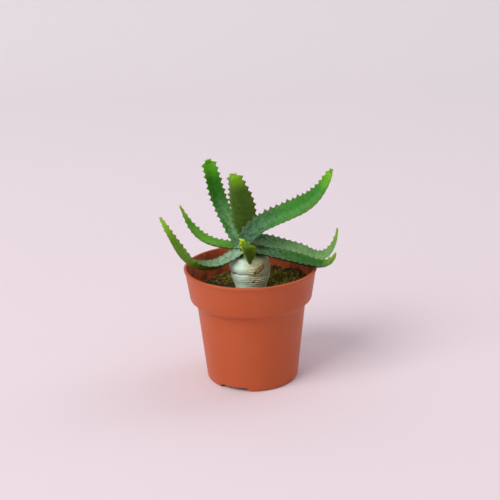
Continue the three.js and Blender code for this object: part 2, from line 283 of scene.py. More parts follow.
class Bench:
    """Adds and links the nodes of one shader tree."""

    def __init__(self, tree: bpy.types.NodeTree) -> None:
        """Takes the tree to work in."""
        self.tree = tree

    def add(self, kind: str, inputs: dict | None = None, **settings: object) -> bpy.types.Node:
        """Adds a node.

        Args:
            kind: The node's type.
            inputs: Values or sockets by input name or number.
            settings: The node's own properties.

        Returns:
            The node.
        """
        node = self.tree.nodes.new(kind)
        for name, value in settings.items():
            setattr(node, name, value)
        return self._fill(node, inputs or {})

    def mix(self, factor: object, first: object, second: object) -> bpy.types.NodeSocket:
        """Mixes two colours by a factor."""
        node = self.add("ShaderNodeMix", {0: factor, 6: first, 7: second}, data_type="RGBA")
        return node.outputs[2]

    def maths(self, operation: str, first: object, second: object = 0.0) -> bpy.types.NodeSocket:
        """Works out one sum on values."""
        return self.add("ShaderNodeMath", {0: first, 1: second}, operation=operation).outputs[0]

    def ranged(
        self, value: object, low: float, high: float, bottom: float = 0.0, top: float = 1.0
    ) -> bpy.types.NodeSocket:
        """Maps a value from one range to another, smoothly and clamped."""
        inputs = {0: value, 1: low, 2: high, 3: bottom, 4: top}
        return self.add("ShaderNodeMapRange", inputs, interpolation_type="SMOOTHSTEP").outputs[0]

    def ramp(self, value: object, stops: tuple[tuple[float, Colour], ...]) -> bpy.types.NodeSocket:
        """Turns a value into a colour.

        Args:
            value: The socket to read.
            stops: Pairs of position and colour, in order.

        Returns:
            The colour's socket.
        """
        node = self.add("ShaderNodeValToRGB", {0: value})
        elements = node.color_ramp.elements
        given = len(elements)
        for i, (spot, colour) in enumerate(stops):
            element = elements[i] if i < given else elements.new(spot)
            element.position, element.color = spot, colour
        return node.outputs[0]

    def object_place(self) -> bpy.types.NodeSocket:
        """The place on the object, in metres."""
        return self.add("ShaderNodeTexCoord").outputs["Object"]

    def noise(self, scale: object, detail: float, **settings: object) -> bpy.types.NodeSocket:
        """Clouds of a scale, placed on the object."""
        inputs = {"Vector": self.object_place(), "Scale": scale, "Detail": detail, **settings}
        return self.add("ShaderNodeTexNoise", inputs).outputs["Fac"]

    def attribute(self, name: str) -> bpy.types.NodeSocket:
        """Reads a value that is stored on the mesh."""
        return self.add("ShaderNodeAttribute", attribute_name=name).outputs["Fac"]

    def group(self, tree: bpy.types.NodeTree, inputs: dict) -> bpy.types.Node:
        """Places a node group, whose sockets exist only once its tree is set."""
        node = self.tree.nodes.new("ShaderNodeGroup")
        node.node_tree = tree
        return self._fill(node, inputs)

    def _fill(self, node: bpy.types.Node, inputs: dict) -> bpy.types.Node:
        """Gives a node's inputs their values or links."""
        for key, value in inputs.items():
            if isinstance(value, bpy.types.NodeSocket):
                self.tree.links.new(value, node.inputs[key])
            else:
                node.inputs[key].default_value = value
        return node


# ---------------------------------------------------------------- shared effects


@dataclass(frozen=True)
class Effects:
    """The node groups that several finishes share."""

    mottle: bpy.types.NodeTree
    speckle: bpy.types.NodeTree
    grain: bpy.types.NodeTree

    BLOTCH_EDGE = (0.38, 0.64)
    GROUP_EDGE = (0.42, 0.62)
    GROUP_SCALE = 260.0
    FINE_SHARE = 0.4

    @classmethod
    def make(cls) -> "Effects":
        """Builds each group once."""
        return cls(cls._mottle(), cls._speckle(), cls._grain())

    @staticmethod
    def _tree(name: str, inputs: dict[str, object], outputs: dict[str, str]) -> bpy.types.NodeTree:
        """Makes an empty group with its sockets.

        Args:
            name: The group's name.
            inputs: Start values by socket name; a tuple makes a colour socket.
            outputs: Socket types by socket name.

        Returns:
            The group's tree.
        """
        tree = bpy.data.node_groups.new(name, "ShaderNodeTree")
        for label, value in inputs.items():
            kind = "NodeSocketColor" if isinstance(value, tuple) else "NodeSocketFloat"
            socket = tree.interface.new_socket(name=label, in_out="INPUT", socket_type=kind)
            socket.default_value = value
        for label, kind in outputs.items():
            tree.interface.new_socket(name=label, in_out="OUTPUT", socket_type=kind)
        return tree

    @classmethod
    def _mottle(cls) -> bpy.types.NodeTree:
        """Soft cloudy blotches of a second colour."""
        inputs = {"Base": GREY, "Blotch": GREY, "Scale": 200.0, "Amount": 0.5}
        tree = cls._tree("mottle", inputs, {"Color": "NodeSocketColor"})
        bench = Bench(tree)
        given, result = bench.add("NodeGroupInput"), bench.add("NodeGroupOutput")
        clouds = bench.noise(given.outputs["Scale"], 4.0, Roughness=0.6)
        mask = bench.ranged(clouds, *cls.BLOTCH_EDGE)
        amount = bench.maths("MULTIPLY", mask, given.outputs["Amount"])
        mixed = bench.mix(amount, given.outputs["Base"], given.outputs["Blotch"])
        tree.links.new(mixed, result.inputs["Color"])
        return tree

    @classmethod
    def _speckle(cls) -> bpy.types.NodeTree:
        """Small dots of a second colour, scattered in groups."""
        inputs = {"Base": GREY, "Dot": GREY, "Scale": 900.0, "Size": 0.3, "Amount": 0.5}
        tree = cls._tree("speckle", inputs, {"Color": "NodeSocketColor"})
        bench = Bench(tree)
        given, result = bench.add("NodeGroupInput"), bench.add("NodeGroupOutput")
        place, scale = bench.object_place(), given.outputs["Scale"]
        cells = bench.add("ShaderNodeTexVoronoi", {"Vector": place, "Scale": scale})
        near = bench.maths("LESS_THAN", cells.outputs["Distance"], given.outputs["Size"])
        grouped = bench.ranged(bench.noise(cls.GROUP_SCALE, 2.0), *cls.GROUP_EDGE)
        mask = bench.maths("MULTIPLY", near, grouped)
        amount = bench.maths("MULTIPLY", mask, given.outputs["Amount"])
        mixed = bench.mix(amount, given.outputs["Base"], given.outputs["Dot"])
        tree.links.new(mixed, result.inputs["Color"])
        return tree

    @classmethod
    def _grain(cls) -> bpy.types.NodeTree:
        """A fine uneven height for bump."""
        tree = cls._tree("grain", {"Coarse": 400.0, "Fine": 2200.0}, {"Height": "NodeSocketFloat"})
        bench = Bench(tree)
        given, result = bench.add("NodeGroupInput"), bench.add("NodeGroupOutput")
        coarse, small = (bench.noise(given.outputs[label], 3.0) for label in ("Coarse", "Fine"))
        total = bench.maths("ADD", coarse, bench.maths("MULTIPLY", small, cls.FINE_SHARE))
        tree.links.new(total, result.inputs["Height"])
        return tree


@dataclass(frozen=True)
class Blotches:
    """How fine the blotches of a second colour are, and how strong."""

    scale: float
    amount: float


@dataclass(frozen=True)
class Dots:
    """How fine the dots of a second colour are, how large in their cells, and how strong."""

    scale: float
    size: float
    amount: float


@dataclass(frozen=True)
class Grain:
    """The scales of the two layers of a fine relief, and its depth."""

    coarse: float
    fine: float
    depth: float


class Finish:
    """A material in the making: its bench, its Principled shader and the shared effects."""

    def __init__(self, name: str, effects: Effects, roughness: float, specular: float = 0.5) -> None:
        """Starts a plain material."""
        self.material = bpy.data.materials.new(name)
        self.material.use_nodes = True
        self.bench = Bench(self.material.node_tree)
        self.shader = self.material.node_tree.nodes["Principled BSDF"]
        self.shader.inputs["Roughness"].default_value = roughness
        self.shader.inputs["Specular IOR Level"].default_value = specular
        self.effects = effects

    def colour(self, value: object) -> None:
        """Sets or links the base colour."""
        self._feed("Base Color", value)

    def roughness(self, value: object) -> None:
        """Sets or links the roughness."""
        self._feed("Roughness", value)

    def mottled(self, base: object, blotch: object, blotches: Blotches) -> bpy.types.NodeSocket:
        """Lays blotches of a second colour on a colour."""
        inputs = {"Base": base, "Blotch": blotch, "Scale": blotches.scale, "Amount": blotches.amount}
        return self.bench.group(self.effects.mottle, inputs).outputs["Color"]

    def speckled(self, base: object, dot: object, dots: Dots) -> bpy.types.NodeSocket:
        """Lays dots of a second colour on a colour."""
        inputs = {"Base": base, "Dot": dot, "Scale": dots.scale, "Size": dots.size, "Amount": dots.amount}
        return self.bench.group(self.effects.speckle, inputs).outputs["Color"]

    def relief(self, grain: Grain, more: bpy.types.NodeSocket | None = None) -> None:
        """Feeds a fine relief into the normal, with another height added to it where one is given."""
        inputs = {"Coarse": grain.coarse, "Fine": grain.fine}
        height = self.bench.group(self.effects.grain, inputs).outputs["Height"]
        if more is not None:
            height = self.bench.maths("ADD", more, height)
        inputs = {"Height": height, "Distance": grain.depth * MM, "Strength": 1.0}
        self._feed("Normal", self.bench.add("ShaderNodeBump", inputs).outputs["Normal"])

    def glow(self, weight: float, reach: tuple[float, float, float]) -> None:
        """Lets a little light through the skin, with its reach in millimetres for red, green and blue."""
        self.shader.inputs["Subsurface Weight"].default_value = weight
        self.shader.inputs["Subsurface Radius"].default_value = [part * MM for part in reach]

    def _feed(self, socket: str, value: object) -> None:
        """Gives an input of the shader a value or a link."""
        if isinstance(value, bpy.types.NodeSocket):
            self.bench.tree.links.new(value, self.shader.inputs[socket])
        else:
            self.shader.inputs[socket].default_value = value


# ---------------------------------------------------------------- pot


@dataclass(frozen=True)
class PotPlastic:
    """Moulded terracotta-coloured plastic, dusty inside, with soil stains and painted shade that darken the
    inside of the wall towards the mix.
    """

    body: Colour = srgb(187, 88, 48)
    blotch: Colour = srgb(184, 76, 28)
    dust: Colour = srgb(188, 128, 98)
    # The stain colour is the soil stain inside, and it also serves as painted shade on the inside of the
    # wall.
    stain: Colour = srgb(92, 40, 20)
    gloss: float = 0.42
    inner_gloss: float = 0.75
    specular: float = 0.28
    clouds: Blotches = Blotches(scale=55.0, amount=0.35)
    soil_and_shade: Blotches = Blotches(scale=240.0, amount=1.0)
    soil_and_shade_share: float = 0.85
    soil_and_shade_at_rim: float = 0.5
    soil_and_shade_margin: float = 0.5
    dots: Dots = Dots(scale=1100.0, size=0.34, amount=0.7)
    grain: Grain = Grain(coarse=300.0, fine=2600.0, depth=0.02)
    turning_scale: float = 260.0
    turning_waver: float = 1.5
    turning_share: float = 0.3

    def make(self, effects: Effects, floor: float, rim: float) -> bpy.types.Material:
        """Builds the material.

        Args:
            effects: The shared node groups.
            floor: The height of the mix, in metres.
            rim: The height of the rim, in metres.

        Returns:
            The material.
        """
        finish = Finish("terracotta_plastic", effects, self.gloss, self.specular)
        bench = finish.bench
        base = finish.mottled(self.body, self.blotch, self.clouds)
        place = bench.object_place()
        height = bench.add("ShaderNodeSeparateXYZ", {0: place}).outputs["Z"]
        inside = bench.attribute("inside")
        # Soil stains with painted shade: blotches of the stain colour on the inside of the wall, fullest at
        # the mix and half as strong at the rim.
        low = bench.ranged(height, floor - self.soil_and_shade_margin * MM, rim, 1.0, self.soil_and_shade_at_rim)
        soil_and_shade_wash = bench.maths("MULTIPLY", bench.maths("MULTIPLY", low, inside), self.soil_and_shade_share)
        base = bench.mix(soil_and_shade_wash, base, finish.mottled(base, self.stain, self.soil_and_shade))
        base = bench.mix(inside, base, finish.speckled(base, self.dust, self.dots))
        finish.colour(base)
        finish.roughness(bench.ranged(inside, 0.0, 1.0, self.gloss, self.inner_gloss))
        rings = {"Vector": place, "Scale": self.turning_scale, "Distortion": self.turning_waver}
        turning = bench.add("ShaderNodeTexWave", {**rings, "Detail": 2.0}, bands_direction="Z").outputs["Fac"]
        finish.relief(self.grain, bench.maths("MULTIPLY", turning, self.turning_share))
        return finish.material


@dataclass
class Pot:
    """The thin-walled nursery pot."""

    base: Vector
    height: float = 49.1
    rim_radius: float = 27.5
    wall: float = 0.8
    lip_bead: float = 0.35
    lip_height: float = 1.1
    collar_height: float = 13.2
    collar_taper: float = 1.8
    shoulder_depth: float = 2.8
    shoulder_height: float = 2.2
    base_radius: float = 19.5
    foot_corner: float = 1.1
    foot_width: float = 1.2
    foot_height: float = 2.0
    notch_count: int = 3
    notch_width: float = 11.5
    notch_height: float = 1.8
    notch_slope: float = 1.2
    notch_turn: float = -114.5
    drain_radius: float = 3.0
    drain_inset: float = 6.5
    drain_sides: int = 48
    floor_round: float = 0.5
    notch_round: float = 0.5
    sharp_angle: float = 40.0
    longest_step: float = 3.0
    steps: int = 192

    @property
    def collar_foot(self) -> float:
        """The height of the collar's lower edge."""
        return self.height - self.collar_height

    @property
    def collar_foot_radius(self) -> float:
        """The outside radius of the collar's lower edge."""
        return self.rim_radius - self.collar_taper

    @property
    def foot_inner(self) -> float:
        """The inside radius of the ring that the pot stands on."""
        return self.base_radius - self.foot_corner - self.foot_width

    def inner_wall(self) -> list[tuple[float, float]]:
        """The inside of the wall as radius and height, from the floor's edge to the lip."""
        shoulder_foot = self.collar_foot - self.shoulder_height
        body_top = self.collar_foot_radius - self.shoulder_depth
        return [
            (self.base_radius - self.wall, self.foot_height + self.wall),
            (body_top - self.wall, shoulder_foot + self.wall / 2),
            (self.collar_foot_radius - self.wall, self.collar_foot + self.wall),
            (self.rim_radius - self.wall, self.height - self.wall / 2),
        ]

    def inner_radius(self, height: float) -> float:
        """The inside radius at a height."""
        points = self.inner_wall()
        for (low_radius, low), (high_radius, high) in zip(points, points[1:]):
            if height <= high:
                return low_radius + (high_radius - low_radius) * clamp((height - low) / (high - low))
        return points[-1][0]

    def profile(self) -> list[tuple[float, float]]:
        """The wall's outline, from the middle of the underside round to the middle of the floor."""
        wall, corner = self.wall, self.foot_corner
        foot_outer = self.base_radius - corner
        shoulder_foot = self.collar_foot - self.shoulder_height
        body_top = self.collar_foot_radius - self.shoulder_depth
        lip = self.rim_radius + self.lip_bead
        under_lip = self.rim_radius - self.collar_taper * self.lip_height / self.collar_height
        soft = self.floor_round
        # The short offsets round the foot, the shoulder, the collar's foot and the lip.
        outside = [
            *arc((self.foot_inner - soft, self.foot_height - soft), soft, 90, 0, 3),
            (self.foot_inner, 0.2),
            (self.foot_inner + 0.2, 0),
            *arc((foot_outer, corner), corner, -90, 0, 8),
            (body_top - 0.05, shoulder_foot - 0.8),
            (body_top + 0.1, shoulder_foot - 0.25),
            (body_top + 0.6, shoulder_foot + 0.3),
            (self.collar_foot_radius - 0.8, self.collar_foot - 0.75),
            (self.collar_foot_radius - 0.2, self.collar_foot - 0.2),
            (self.collar_foot_radius + 0.03, self.collar_foot + 0.5),
            (under_lip, self.height - self.lip_height - 0.45),
            (under_lip + 0.12, self.height - self.lip_height - 0.2),
            (lip - 0.08, self.height - self.lip_height + 0.05),
            *arc((lip - wall / 2, self.height - wall / 2), wall / 2, 0, 90, 6),
        ]
        inside = list(reversed(self.inner_wall()))
        inside = [(inside[0][0] + 0.15, self.height - 0.05), *inside]
        return [(0, self.foot_height), *outside, *inside, (0, self.foot_height + wall)]

    def build(self) -> bpy.types.Object:
        """Makes the pot.

        Returns:
            The finished piece.
        """
        bm = turn_profile(fine(self.profile(), self.longest_step), self.base, self.steps)
        self._mark_inside(bm)
        pot = finish_piece(bm, "pot_shell", ["pot"])
        for i in range(self.notch_count):
            turn = self.notch_turn + 360 * i / self.notch_count
            self._cut(pot, self._notch(turn))
            self._cut(pot, self._drain(turn))
        pot.data.set_sharp_from_angle(angle=math.radians(self.sharp_angle))
        return pot

    def _mark_inside(self, bm: bmesh.types.BMesh) -> None:
        """Stores how far each vertex belongs to the inside of the wall."""
        layer = bm.verts.layers.float.new("inside")
        for vert in bm.verts:
            place = (vert.co - self.base) / MM
            radius = math.hypot(place.x, place.y)
            inner = self.inner_radius(place.z) + self.wall * 0.4
            floor = self.foot_height + self.wall * 0.5
            is_inside = radius < inner and floor < place.z < self.height - 0.3
            vert[layer] = 1.0 if is_inside else 0.0

    def _notch(self, turn: float) -> bmesh.types.BMesh:
        """A cutter for one notch in the foot."""
        bm = bmesh.new()
        depth = self.base_radius - self.foot_inner + 4
        middle = (self.base_radius + self.foot_inner) / 2
        bmesh.ops.create_cube(bm, size=1.0)
        bmesh.ops.scale(bm, verts=bm.verts, vec=(depth, self.notch_width, 2 * self.notch_height))
        for vert in bm.verts:
            if vert.co.z < 0:
                vert.co.y += math.copysign(2 * self.notch_slope, vert.co.y)
        upright = [edge for edge in bm.edges if all(vert.co.z > 0 for vert in edge.verts)]
        along = [edge for edge in upright if abs(edge.verts[0].co.y - edge.verts[1].co.y) < 1e-6]
        bmesh.ops.bevel(
            bm, geom=along, offset=self.notch_round, segments=3, profile=0.5, affect="EDGES", material=-1
        )
        bmesh.ops.translate(bm, verts=bm.verts, vec=(middle, 0, 0))
        self._place(bm, turn)
        return bm

    def _drain(self, turn: float) -> bmesh.types.BMesh:
        """A cutter for one drain hole."""
        bm = bmesh.new()
        radius, depth = self.drain_radius, 4 * self.wall
        bmesh.ops.create_cone(
            bm, cap_ends=True, segments=self.drain_sides, radius1=radius, radius2=radius, depth=depth
        )
        centre = self.foot_inner - self.drain_inset
        bmesh.ops.translate(bm, verts=bm.verts, vec=(centre, 0, self.foot_height + self.wall / 2))
        self._place(bm, turn)
        return bm

    def _place(self, bm: bmesh.types.BMesh, turn: float) -> None:
        """Turns a cutter about the pot's axis and brings it to its place in metres."""
        bmesh.ops.scale(bm, verts=bm.verts, vec=(MM, MM, MM))
        turned = Matrix.Rotation(math.radians(turn), 3, "Z")
        bmesh.ops.rotate(bm, verts=bm.verts, cent=(0, 0, 0), matrix=turned)
        bmesh.ops.translate(bm, verts=bm.verts, vec=self.base)

    @staticmethod
    def _cut(pot: bpy.types.Object, cutter_mesh: bmesh.types.BMesh) -> None:
        """Cuts a shape out of the pot for good.

        Args:
            pot: The piece that is cut.
            cutter_mesh: The shape to take away, which is used up.
        """
        cutter = object_from(cutter_mesh, "cutter", smooth=False)
        modifier = pot.modifiers.new("cut", "BOOLEAN")
        modifier.operation = "DIFFERENCE"
        modifier.solver = "EXACT"
        modifier.object = cutter
        depsgraph = bpy.context.evaluated_depsgraph_get()
        cut = bpy.data.meshes.new_from_object(pot.evaluated_get(depsgraph))
        pot.modifiers.clear()
        pot.data = cut
        used = cutter.data
        bpy.data.objects.remove(cutter)
        bpy.data.meshes.remove(used)

    def dress(self, pot: bpy.types.Object, effects: Effects, mix_level: float) -> None:
        """Gives the pot its finish."""
        floor = self.base.z + mix_level * MM
        rim = self.base.z + self.height * MM
        pot.data.materials.clear()
        pot.data.materials.append(PotPlastic().make(effects, floor, rim))


# ---------------------------------------------------------------- potting mix


@dataclass(frozen=True)
class PeatEarth:
    """Dark damp peat with paler grains."""

    dark: Colour = srgb(36, 28, 16)
    brown: Colour = srgb(112, 84, 44)
    pale: Colour = srgb(176, 122, 96)
    green: Colour = srgb(138, 136, 40)
    gloss: float = 0.9
    specular: float = 0.25
    green_at: float = 0.78
    clumps: Blotches = Blotches(scale=700.0, amount=0.65)
    grain: Grain = Grain(coarse=900.0, fine=3000.0, depth=0.25)

    def make(self, effects: Effects, name: str) -> bpy.types.Material:
        """Builds the material, which reads each crumb's tone from the mesh.

        Args:
            effects: The shared node groups.
            name: The material's name.

        Returns:
            The material.
        """
        finish = Finish(name, effects, self.gloss, self.specular)
        stops = ((0.0, self.dark), (0.5, self.brown), (self.green_at, self.green), (1.0, self.pale))
        tone = finish.bench.ramp(finish.bench.attribute("tone"), stops)
        finish.colour(finish.mottled(tone, self.dark, self.clumps))
        finish.relief(self.grain)
        return finish.material


@dataclass
class PottingMix:
    """The mix: a plug that fills the pot, with loose crumbs and fibres on it."""

    pot: Pot
    below_rim: float = 10.1
    tilt: float = 0.083
    mound: float = 0.7
    mound_place: tuple[float, float] = (0.6, 0.5)
    mound_reach: float = 0.6
    lump: float = 0.25
    lump_span: tuple[float, float, float] = (1.6, 1.8, 2.5)
    lump_phase: float = 1.3
    gap: float = 0.3
    roughness: tuple[tuple[float, float], ...] = ((0.9, 0.55), (2.6, 0.3))
    wall_step: float = 4.0
    top_step: float = 0.6
    crumbs: int = 2600
    crumb_size: tuple[float, float] = (0.16, 0.5)
    grains: int = 150
    grain_size: tuple[float, float] = (0.15, 0.42)
    grain_turn: float = 135.0
    grain_spread: float = 22.0
    grain_lift: float = 0.25
    fibres: int = 110
    fibre_joints: int = 6
    fibre_sides: int = 5
    fibre_lift: float = 0.3
    steps: int = 180
    seed: int = 11

    EDGE = 1e-3

    @property
    def level(self) -> float:
        """The height of the mix at the stem."""
        return self.pot.height - self.below_rim

    def surface(self, x: float, y: float) -> float:
        """The height of the mix at a place, both from the pot's axis."""
        reach = self.pot.collar_foot_radius
        away = math.hypot(x - reach * self.mound_place[0], y - reach * self.mound_place[1])
        mound = self.mound * (1 - smoothstep(away, 0, reach * self.mound_reach))
        span_x, span_y, span_both = self.lump_span
        along = math.sin(x / span_x + self.lump_phase) * math.cos(y / span_y)
        across = math.sin((x - y) / span_both)
        return self.level + self.tilt * x + mound + self.lump * (along + across)

    def build(self) -> list[bpy.types.Object]:
        """Makes the plug, the crumbs and the fibres.

        Returns:
            The pieces.
        """
        rng = random.Random(self.seed)
        plug = finish_piece(self._plug(), "mix_plug", ["potting_mix"])
        crumbs = finish_piece(self._crumbs(rng), "mix_crumbs", [], faceted=True)
        fibres = finish_piece(self._fibres(rng), "mix_fibres", [])
        return [plug, crumbs, fibres]

    def _plug(self) -> bmesh.types.BMesh:
        """The body of the mix, rough on top."""
        wall = [(radius - self.gap, height) for radius, height in self.pot.inner_wall()[:3]]
        wall[0] = (wall[0][0], wall[0][1] + self.gap)
        outer = wall[-1][0]
        profile = fine([(0, wall[0][1]), *wall], self.wall_step)
        profile += fine([(outer, self.level), (0, self.level)], self.top_step)
        bm = turn_profile(profile, self.pot.base, self.steps)
        tone = bm.verts.layers.float.new("tone")
        for vert in bm.verts:
            place = (vert.co - self.pot.base) / MM
            if place.z < self.level - self.EDGE:
                continue
            height = self.surface(place.x, place.y)
            radius = math.hypot(place.x, place.y)
            if radius > outer - self.EDGE:
                stretch = (self.pot.inner_radius(height) - self.gap) / outer
                place.x, place.y = place.x * stretch, place.y * stretch
            rough = sum(noise.noise(place * scale) * rise for scale, rise in self.roughness)
            vert.co = self.pot.base + Vector((place.x, place.y, height + rough)) * MM
            vert[tone] = clamp(0.16 + 0.3 * noise.noise(place * 0.5))
        return bm

    def _spot(self, rng: random.Random, edge: float = 0.6) -> Vector:
        """A random place on the mix, from the pot's axis."""
        reach = self.pot.inner_radius(self.level) - self.gap - edge
        radius, turn = reach * math.sqrt(rng.uniform(0.05, 1)), rng.uniform(0, math.tau)
        x, y = radius * math.cos(turn), radius * math.sin(turn)
        return Vector((x, y, self.surface(x, y)))

    def _crumbs(self, rng: random.Random) -> bmesh.types.BMesh:
        """Loose crumbs all over, and paler grains along the left-hand wall."""
        bm = bmesh.new()
        tone = bm.verts.layers.float.new("tone")
        for i in range(self.crumbs + self.grains):
            if i < self.crumbs:
                spot, size = self._spot(rng), rng.uniform(*self.crumb_size) * rng.uniform(0.6, 1.5)
                green = 0.45 if spot.x > 4 or spot.y > 8 else 0.15
                shade = rng.uniform(0.55, 0.8) if rng.random() < green else rng.uniform(0.0, 0.5)
            else:
                turn = math.radians(rng.gauss(self.grain_turn, self.grain_spread))
                reach = self.pot.inner_radius(self.level) - self.gap - abs(rng.gauss(0, 0.9))
                x, y = reach * math.cos(turn), reach * math.sin(turn)
                spot = Vector((x, y, self.surface(x, y) + self.grain_lift))
                size = rng.uniform(*self.grain_size)
                shade = rng.uniform(0.82, 1.0)
            spin = Matrix.Rotation(rng.uniform(0, math.tau), 4, rng.choice("XYZ"))
            stretch = Matrix.Diagonal((size, size * rng.uniform(0.5, 1), size * rng.uniform(0.4, 0.8), 1))
            place = Matrix.Translation(self.pot.base + spot * MM) @ Matrix.Scale(MM, 4) @ spin @ stretch
            made = bmesh.ops.create_icosphere(bm, subdivisions=1, radius=1.0, matrix=place)
            paint(made["verts"], (tone, shade))
        return bm

    def _fibres(self, rng: random.Random) -> bmesh.types.BMesh:
        """Thin bent root fibres that lie on the mix."""
        bm = bmesh.new()
        tone = bm.verts.layers.float.new("tone")
        for _ in range(self.fibres):
            spot, turn = self._spot(rng, 3.0), rng.uniform(0, math.tau)
            thick, bend = rng.uniform(0.06, 0.13), rng.uniform(-0.6, 0.6)
            made = bmesh.ops.create_circle(bm, cap_ends=True, segments=self.fibre_sides, radius=thick * MM)
            ring = made["verts"]
            lay = Matrix.Rotation(turn, 4, "Z") @ Matrix.Rotation(math.pi / 2, 4, "Y")
            bmesh.ops.transform(bm, verts=ring, matrix=Matrix.Translation(self.pot.base + spot * MM) @ lay)
            shade = rng.uniform(0.25, 0.6)
            paint(ring, (tone, shade))
            for _ in range(self.fibre_joints):
                ring = extruded_ring(bm, ring)
                turn += bend * 0.5
                step = rng.uniform(0.35, 0.6)
                spot = spot + Vector((step * math.cos(turn), step * math.sin(turn), 0))
                lift = self.surface(spot.x, spot.y) + self.fibre_lift - spot.z
                spot.z += lift
                shift = Vector((step * math.cos(turn), step * math.sin(turn), lift)) * MM
                bmesh.ops.translate(bm, verts=ring, vec=shift)
                paint(ring, (tone, shade))
            fill_ring(bm, ring)
        bmesh.ops.recalc_face_normals(bm, faces=bm.faces)
        return bm

    def dress(self, pieces: list[bpy.types.Object], effects: Effects) -> None:
        """Gives the mix its finish."""
        material = PeatEarth().make(effects, "peat")
        for piece in pieces:
            piece.data.materials.append(material)


# ---------------------------------------------------------------- moss


@dataclass(frozen=True)
class MossGreen:
    """Short moss, yellow-green at its tips and brown at its foot."""

    foot: Colour = srgb(60, 58, 20)
    middle: Colour = srgb(126, 118, 32)
    tip: Colour = srgb(206, 198, 66)
    gloss: float = 0.85
    specular: float = 0.3
    middle_at: float = 0.55
    clumps: Blotches = Blotches(scale=420.0, amount=0.7)
    grain: Grain = Grain(coarse=1200.0, fine=4000.0, depth=0.15)

    def make(self, effects: Effects) -> bpy.types.Material:
        """Builds the material, which reads each shoot's tone from the mesh."""
        finish = Finish("moss", effects, self.gloss, self.specular)
        stops = ((0.0, self.foot), (self.middle_at, self.middle), (1.0, self.tip))
        tone = finish.bench.ramp(finish.bench.attribute("tone"), stops)
        finish.colour(finish.mottled(tone, self.foot, self.clumps))
        finish.relief(self.grain)
        return finish.material


@dataclass
class MossPatch:
    """One cushion of moss on the mix, with its shoots."""

    node: str
    mix: PottingMix
    shoots: int = 620
    shoot_height: float = 1.0
    shoot_radius: float = 0.16
    shoot_sides: int = 5
    seed: int = 3

    SPREAD = 0.92
    BUMP = 0.12
    LUMP = 0.35
    SINK = 0.2
    HEIGHT_SHARE = 1.05
    UPPER = 0.25
    FOOT_TONE = 0.25

    def build(self) -> bpy.types.Object:
        """Makes the cushion inside its frame node's box.

        Returns:
            The piece.
        """
        rng = random.Random(self.seed)
        low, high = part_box(self.node)
        middle, half = (low + high) / 2, (high - low) / 2
        bm = bmesh.new()
        bmesh.ops.create_uvsphere(bm, u_segments=48, v_segments=24, radius=1.0)
        tone = bm.verts.layers.float.new("tone")
        for vert in bm.verts:
            bumps = 1 + self.BUMP * noise.noise(vert.co * 2.5 + middle * 900)
            lift = max(vert.co.z, 0) * (1 + self.LUMP * noise.noise(vert.co * 4 + middle * 700))
            x = middle.x + vert.co.x * half.x * bumps * self.SPREAD
            y = middle.y + vert.co.y * half.y * bumps * self.SPREAD
            place = (Vector((x, y, 0)) - self.mix.pot.base) / MM
            floor = self.mix.pot.base.z + (self.mix.surface(place.x, place.y) - self.SINK) * MM
            rise = lift * half.z * self.HEIGHT_SHARE + min(vert.co.z, 0) * 0.1 * MM
            vert.co = Vector((x, y, floor + rise))
            vert[tone] = self.FOOT_TONE
        bmesh.ops.recalc_face_normals(bm, faces=bm.faces)
        bm.faces.ensure_lookup_table()
        upper = [face for face in bm.faces if face.normal.z > self.UPPER]
        # The sphere's faces come in no fixed order, so they are put in order of place.
        upper.sort(key=lambda face: tuple(face.calc_center_median()))
        for _ in range(self.shoots):
            face = rng.choice(upper)
            lean = (face.normal + Vector((rng.uniform(-0.6, 0.6), rng.uniform(-0.6, 0.6), 0.3))).normalized()
            length = self.shoot_height * rng.uniform(0.5, 1.2) * MM
            centre = face.calc_center_median() + lean * length * 0.35
            radius = self.shoot_radius * rng.uniform(0.7, 1.4) * MM
            verts = add_cone(bm, centre, lean, (radius, radius * 0.2), length, self.shoot_sides)
            shade = rng.uniform(0.3, 0.75)
            for vert in verts:
                along = (vert.co - centre).dot(lean)
                vert[tone] = clamp(shade + (0.35 if along > 0 else -0.25))
        return finish_piece(bm, self.node + "_cushion", [self.node])

    def dress(self, piece: bpy.types.Object, material: bpy.types.Material) -> None:
        """Gives the cushion its finish."""
        piece.data.materials.append(material)


# ---------------------------------------------------------------- caudex


